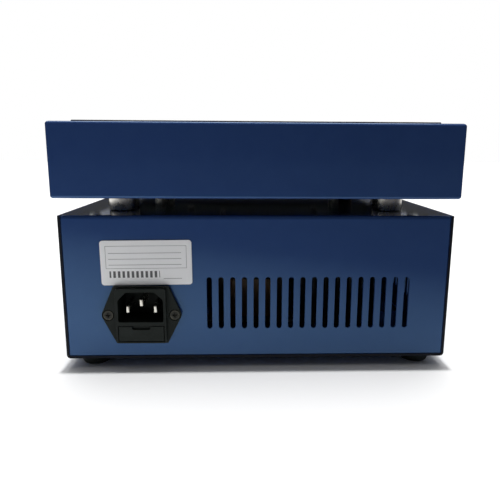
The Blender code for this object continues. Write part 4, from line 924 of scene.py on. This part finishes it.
# Rocker of the power switch: a glossy black key with a dished face, which tips about two
# small trunnions. Its face carries a plain stroke for on and a ring for off.
rocker_tilt = radians(9)
rocker_radius, rocker_wide, rocker_back = 8.6 * MM, 10.4 * MM, 2.94 * MM
dish_radius, dish_wide, dish_out = 14.1 * MM, 14 * MM, 18.0 * MM
rocker_black = worn_finish("rocker_black", (20, 21, 22), (26, 27, 28), (62, 62, 62),
    rough=(0.24, 0.36), scales=(1200, 60), bumps=(0.08, 0.02), amount=0.35, dusty=0.04)
rocker = cylinder(96, rocker_radius, rocker_wide, turn=(0, pi / 2, 0))
rocker.name = rocker.data.name = "rocker_key"
pick(rocker, "FACE", lambda face: True)
bpy.ops.mesh.bisect(plane_co=(0, rocker_back, 0), plane_no=(0, 1, 0), use_fill=True,
                    clear_outer=True)
close_edit()
carve(rocker, cylinder(192, dish_radius, dish_wide, (0, -dish_out, 0), (0, pi / 2, 0)))
drill(rocker, "trunnions", 24, [(1.1, -6.1), (1.3, -5.9), (1.3, 5.9), (1.1, 6.1)], (0, 0, 0),
      (0, pi / 2, 0), "UNION")
soften(rocker, 0.3 * MM, 3, 30)
move_to(rocker, pivot, (rocker_tilt, 0, 0))
tree = rocker_black.node_tree
across, outward, up = place_axes(tree, pivot, (rocker_tilt, 0, 0))
stroke = panel_mask(tree, across, up, -0.25 * MM, 0.25 * MM, 2.6 * MM, 5.6 * MM)
spot = add_node(tree, "ShaderNodeCombineXYZ", {"X": across, "Y": maths(tree, "ADD", up, 4.1 * MM)})
distance = add_node(tree, "ShaderNodeVectorMath", {0: spot.outputs[0]}, operation="LENGTH")
ring = stripe(tree, distance.outputs["Value"], 1.1 * MM, 1.6 * MM)
marks = maths(tree, "MULTIPLY", maths(tree, "MAXIMUM", stroke, ring),
              stripe(tree, outward, -9 * MM, -3.5 * MM))
print_on(rocker_black, marks, from_screen(228, 228, 224))
dress(rocker, rocker_black, "power_rocker", "switch_rocker")

# Transformer: a stack of iron sheets round a coil that is wrapped in yellow-brown tape. A
# steel strap below the core holds it to the floor of the box.
low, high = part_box("transformer")
core_middle = (low + high) / 2
core_half = Vector((21.0 * MM, 9.0 * MM, 17.5 * MM))
core_low = Vector((core_middle.x, core_middle.y, high.z - core_half.z)) - core_half
core_high = core_low + 2 * core_half
iron = worn_finish("transformer_iron", (58, 56, 54), (70, 62, 54), (110, 102, 92),
    rough=(0.45, 0.62), scales=(500, 60), bumps=(0.12, 0.02), metallic=0.7, amount=0.5, dusty=0.08)
tree = iron.node_tree
x, y, z = place_axes(tree)
layers = spread(tree, maths(tree, "PINGPONG", y, 0.25 * MM), 0.0, 1.0, 0.0, 0.25 * MM)
relief(tree, tree.nodes["Principled BSDF"], layers, 0.6, 0.08 * MM)
core = block("iron_core", core_low, core_high)
soften(core, 0.4 * MM, 1)
dress(core, iron, "stand", "transformer")
tape = worn_finish("coil_tape", (150, 112, 66), (132, 96, 54), (186, 154, 106), rough=(0.3, 0.45),
    scales=(900, 80), bumps=(0.15, 0.03), amount=0.3, dusty=0.05)
coil_middle = core_low + core_half
coil_reach, cheek_reach = 15 * MM, 16 * MM
coil = slab("taped_coil", coil_middle.x, coil_middle.z, 14.0, 11.5, coil_middle.y - coil_reach,
            coil_middle.y + coil_reach)
round_edges(coil, lambda edge: not along(edge, 0), 3.5 * MM, 6)
soften(coil, 0.3 * MM)
dress(coil, tape, "stand", "transformer")
for name, side in (("left", -1), ("right", 1)):
    x = coil_middle.x + side * 13.4 * MM
    cheek = slab("bobbin_cheek_" + name, x, coil_middle.z, 0.6, 11.5,
                 coil_middle.y - cheek_reach, coil_middle.y + cheek_reach)
    round_edges(cheek, lambda edge: along(edge, 0), 1.5 * MM, 4)
    soften(cheek, 0.2 * MM)
    dress(cheek, module_black, "stand", "transformer")
strap_half, strap_thick, strap_holes = 7 * MM, 1.5 * MM, 25.0 * MM
strap = block("transformer_strap", (low.x, core_middle.y - strap_half, low.z),
              (high.x, core_middle.y + strap_half, low.z + strap_thick))
round_edges(strap, lambda edge: along(edge, 2), 4.0 * MM, 6)
for side in (-1, 1):
    drill(strap, "strap_hole", 24, [(1.8, -5), (1.8, 5)],
          (coil_middle.x + side * strap_holes, coil_middle.y, low.z))
soften(strap, 0.2 * MM)
dress(strap, zinc, "stand", "transformer")

# Heat sink: drawn aluminium with seven fins, anodised dark grey, standing on the floor of the
# box with its flat back to the front.
sink_metal = worn_finish("anodised_sink", (36, 38, 40), (46, 48, 50), (120, 122, 124),
    rough=(0.40, 0.55), scales=(260, 40), bumps=(0.2, 0.03), metallic=0.6, amount=0.5, dusty=0.10)
low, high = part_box("triac_heat_sink")
sink = block("finned_sink", low, (high.x, low.y + 4.0 * MM, high.z))
fin_thick, fin_count = 1.6 * MM, 7
fin = block("fin", (low.x, low.y + 2 * MM, low.z), (low.x + fin_thick, high.y, high.z))
repeat(fin, fin_count, ((high.x - low.x - fin_thick) / (fin_count - 1), 0, 0))
carve(sink, fin, "UNION")
soften(sink, 0.25 * MM)
dress(sink, sink_metal, "stand", "triac_heat_sink")

# Triac: a moulded black body on a tinned tab, bolted flat against the back of the heat sink.
low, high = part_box("power_triac")
tab = block("triac_tab", (low.x, high.y - 1.4 * MM, low.z), high)
round_edges(tab, lambda edge: along(edge, 1) and edge.verts[0].co.z > low.z + 1 * MM, 1.2 * MM, 1)
drill(tab, "bolt_hole", 28, [(1.8, -4), (1.8, 4)],
      ((low.x + high.x) / 2, high.y, high.z - 3.0 * MM), (pi / 2, 0, 0))
soften(tab, 0.15 * MM)
dress(tab, tinned, "stand", "power_triac")
case_side, case_back, case_below = 0.2 * MM, 0.7 * MM, 6.2 * MM
case = block("triac_case", (low.x + case_side, low.y, low.z + case_side),
             (high.x - case_side, high.y - case_back, high.z - case_below))
pick(case, "FACE", lambda face: face.normal.y < -0.9)
bpy.ops.transform.resize(
    value=(0.9, 1, 0.92),
    center_override=((low.x + high.x) / 2, low.y, (low.z + high.z - case_below) / 2))
close_edit()
soften(case, 0.3 * MM)
dress(case, module_black, "stand", "power_triac")

# Terminal block: cream glazed ceramic with a rib at each end, where the heater lead meets the
# wires from the inlet and the triac under two brass screws.
glazed = worn_finish("glazed_ceramic", (222, 216, 198), (212, 204, 184), (235, 231, 220),
    rough=(0.18, 0.32), scales=(700, 90), bumps=(0.12, 0.03), amount=0.3, dusty=0.08)
brass = worn_finish("turned_brass", (196, 164, 92), (176, 146, 80), (220, 194, 130),
    rough=(0.25, 0.40), scales=(600, 120), bumps=(0.12, 0.01), metallic=1.0, amount=0.4,
    dusty=0.04)
low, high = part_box("terminal_block")
terminal_top = high.z - 4.0 * MM
ceramic = block("ceramic_block", low, (high.x, high.y, terminal_top))
round_edges(ceramic, lambda edge: along(edge, 2), 1.5 * MM, 4)
middle = (low + high) / 2
screw_apart = 9.5 * MM
for side in (-1, 1):
    x = middle.x + side * 13.8 * MM
    carve(ceramic, block("rib", (x - 1.0 * MM, low.y + 0.4 * MM, terminal_top - 2 * MM),
                         (x + 1.0 * MM, high.y - 0.4 * MM, high.z)), "UNION")
    x = middle.x + side * screw_apart
    drill(ceramic, "wire_way", 28, [(2.0, -12), (2.0, 12)], (x, middle.y, low.z + 7.0 * MM),
          (pi / 2, 0, 0))
    drill(ceramic, "screw_well", 32, [(2.6, -5), (2.6, 5)], (x, middle.y, terminal_top))
soften(ceramic, 0.4 * MM)
dress(ceramic, glazed, "stand", "terminal_block")
for name, side in (("left", -1), ("right", 1)):
    screw = turned_blank("terminal_screw_" + name, 32, [(2.3, -4.8), (2.3, -1.2), (2.0, -0.9)])
    carve(screw, block("driver_slot", (-3 * MM, -0.35 * MM, -1.9 * MM), (3 * MM, 0.35 * MM, 1 * MM)))
    move_to(screw, (middle.x + side * screw_apart, middle.y, terminal_top), (0, 0, side * radians(24)))
    smooth()
    dress(screw, brass, "stand", "terminal_block")

# Posts: four bright turned spacers of polished steel, each on a long bolt.
polished = worn_finish("polished_steel", (226, 223, 217), (212, 208, 200), (236, 234, 228),
    rough=(0.22, 0.34), scales=(240, 60), bumps=(0.06, 0.01), metallic=1.0, amount=0.3, dusty=0.03)
for place in corners:
    low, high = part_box("post_" + place)
    tall = (high.z - low.z) / MM
    rings = [(3.0, 0.0), (7.8, 0.0), (7.94, 0.06), (8.0, 0.2), (8.0, tall - 0.2),
             (7.94, tall - 0.06), (7.8, tall), (3.0, tall)]
    post = turned_blank("steel_post_" + place, 64, rings, seat_of(low, high))
    smooth()
    dress(post, polished, "stand", "post_" + place)

# Post bolts: long zinc-plated bolts. Each has its head inside the box and ends in a nut that is
# welded on the heater pan.
def coat(node, finish):
    """Gives a solid that stays as it is its finish."""
    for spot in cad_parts[node].material_slots:
        spot.material = finish


for place in corners:
    coat("post_bolt_" + place, zinc)

# Heater lead: two wires in one stiff sleeve of braided glass fibre, dark brown from varnish. It
# rises from the terminal block through the top of the box and the pan to the heater.
lead_start, lead_end = Vector((-56.0, -33.605, 22.2)) * MM, Vector((-70.0, -33.605, 106.5)) * MM
lead_radius, bend_low, bend_top = 5.0 * MM, 24.7 * MM, 67.0 * MM
lead_steps = 24
bpy.ops.object.select_all(action="DESELECT")
bpy.ops.curve.primitive_nurbs_path_add(radius=0.01)
sleeve = bpy.context.object
sleeve.name = "braided_sleeve"
sleeve.data.splines.clear()
route = sleeve.data.splines.new("POLY")
route.points.add(lead_steps + 1)
route.points[0].co = (*lead_start, 1)
for number in range(lead_steps):
    share = number / (lead_steps - 1)
    ease = share * share * (3 - 2 * share)
    route.points[number + 1].co = (lead_start.x + (lead_end.x - lead_start.x) * ease, lead_start.y,
                                   bend_low + share * (bend_top - bend_low), 1)
route.points[lead_steps + 1].co = (*lead_end, 1)
sleeve.data.bevel_depth = lead_radius
sleeve.data.bevel_resolution = 8
sleeve.data.use_fill_caps = True
take(sleeve)
bpy.ops.object.convert(target="MESH")
move_to(sleeve, (0, 0, 0))
smooth(50)
braid = worn_finish("varnished_braid", (44, 29, 20), (58, 38, 25), (84, 60, 42),
    rough=(0.50, 0.70), scales=(1500, 90), bumps=(0.1, 0.02), amount=0.4, dusty=0.05, gloss=0.3)
tree = braid.node_tree
shader = tree.nodes["Principled BSDF"]
x, y, z = place_axes(tree)
middle_x = spread(tree, z, lead_start.x, lead_end.x, bend_low, bend_top, "SMOOTHSTEP")
angle = maths(tree, "ARCTAN2", maths(tree, "SUBTRACT", y, lead_start.y),
              maths(tree, "SUBTRACT", x, middle_x))
threads, thread_rise = 12.0, 2600.0
waves = [maths(tree, "SINE", maths(tree, "MULTIPLY_ADD", angle, threads,
                                   maths(tree, "MULTIPLY", z, way * thread_rise)))
         for way in (1, -1)]
weave = spread(tree, maths(tree, "MULTIPLY", *waves), 0.0, 1.0, -1.0, 1.0)
under = shader.inputs["Base Color"].links[0].from_socket
tree.links.new(blend_colours(tree, weave, from_screen(28, 19, 13), under), shader.inputs["Base Color"])
relief(tree, shader, weave, 0.8, 0.25 * MM)
dress(sleeve, braid, "stand", "heater_lead_sleeve")

# Grommet: a black rubber ring with a groove, pressed into the hole in the top of the box.
low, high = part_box("lead_grommet")
grommet_rings = [(5.6, 0.0), (7.9, 0.0), (8.2, 0.3), (8.2, 1.1), (7.9, 1.4), (6.4, 1.4), (6.4, 3.5),
                 (7.9, 3.5), (8.2, 3.8), (8.2, 4.5), (7.8, 4.9), (5.6, 4.9)]
grommet = turned_blank("lead_ring", 56, grommet_rings, seat_of(low, high))
carve(grommet, turned_blank("bore", 56, [(5.3, -2), (5.3, 8)], seat_of(low, high)))
soften(grommet, 0.15 * MM)
dress(grommet, rubber, "stand", "lead_grommet")

# Heater pan: steel sheet pressed to a raised middle, coloured dark greenish grey as painted shade for
# the shaded gap under the tray. It carries the mat, the heater and the plate, and lies on the tray's
# lip and on the posts.
shade_dark_steel = worn_finish("shade_darkened_steel", (44, 58, 58), (50, 58, 54), (60, 58, 52), rough=(0.75, 0.90),
    scales=(380, 26), bumps=(0.15, 0.03), amount=0.5, dusty=0.04, gloss=0.04)
coat("heater_pan", shade_dark_steel)

# Insulation mat: pressed mineral fibre, cream white, cut out round the nuts and the lead.
fibre = worn_finish("mineral_fibre", (214, 206, 186), (196, 184, 158), (226, 221, 208),
    rough=(0.85, 0.97), scales=(2600, 160), bumps=(0.6, 0.2), amount=0.2, dusty=0.1, gloss=0.1)
coat("insulation_mat", fibre)

# Heater element: a resistance strip wound between mica sheets, clamped under the plate.
mica = worn_finish("mica_sheet", (150, 128, 96), (120, 98, 70), (186, 170, 140), rough=(0.22, 0.5),
    scales=(900, 120), bumps=(0.25, 0.05), amount=0.3, dusty=0.02)
coat("heater_element", mica)

# Plate standoffs and temperature probe: turned steel, hidden between the pan and the plate,
# with their lower ends showing below the pan.
for place in corners:
    coat("plate_standoff_" + place, black_screw)
coat("temperature_probe", black_screw)

# Tray: the same blue sheet folded to four walls, with a narrow rim round the plate, a wider
# lip below and a closed seam near each corner.
low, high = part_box("tray_shell")
rim, lip, tray_bend, tray_sheet = 7.9 * MM, 10.0 * MM, 1.5 * MM, 1.2 * MM
tray = block("blue_tray", low, high)
for way, width in ((1, rim), (-1, lip)):
    pick(tray, "FACE", lambda face: face.normal.z * way > 0.9)
    bpy.ops.mesh.inset(thickness=width, depth=0)
    bpy.ops.mesh.delete(type="FACE")
round_edges(tray, lambda edge: edge.is_manifold and edge.calc_face_angle() > 1
            and abs(edge.verts[0].co.z - edge.verts[1].co.z) < 1 * MM, tray_bend, bend_steps)
thicken(tray, tray_sheet)
seam, seam_depth, seam_inset = 0.25 * MM, 0.25 * MM, 1.4 * MM
for side_x in (-1, 1):
    for side_y in (-1, 1):
        x = side_x * high.x
        y = middle_y + side_y * (high.y - middle_y - seam_inset)
        carve(tray, block("seam", (x - seam_depth, y - seam / 2, low.z + 2 * MM),
                          (x + seam_depth, y + seam / 2, high.z - 2 * MM)))
soften(tray, paint_edge)
dress(tray, blue_paint, "stand", "tray_shell")

# Heating plate: a thick milled block of dark anodised aluminium with broken edges.
plate_metal = worn_finish("plate_metal", (84, 86, 88), (77, 79, 82), (140, 141, 142),
    rough=(0.34, 0.46), scales=(900, 60), bumps=(0.10, 0.02), metallic=0.75, amount=0.6,
    dusty=0.03)
tree = plate_metal.node_tree
milling = add_node(tree, "ShaderNodeMapping", {"Scale": (1.0, 0.02, 1.0)})
for link in list(tree.links):
    if link.to_socket.name == "Vector" and link.to_node.node_tree == grain:
        tree.links.new(link.from_socket, milling.inputs["Vector"])
        tree.links.new(milling.outputs["Vector"], link.to_socket)
low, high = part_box("heating_plate")
plate = block("milled_plate", low, high)
round_edges(plate, lambda edge: along(edge, 2), 1.2 * MM, 4)
inset_faces(plate, lambda face: abs(face.normal.z) > 0.9, 0.9 * MM)
soften(plate, 0.5 * MM, 3, 50)
dress(plate, plate_metal, "stand", "heating_plate")

# Size of the shown object beside the size of the solids.
shown_low, shown_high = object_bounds()
sizes = {"cad": [list(cad_low), list(cad_high)], "shown": [list(shown_low), list(shown_high)]}
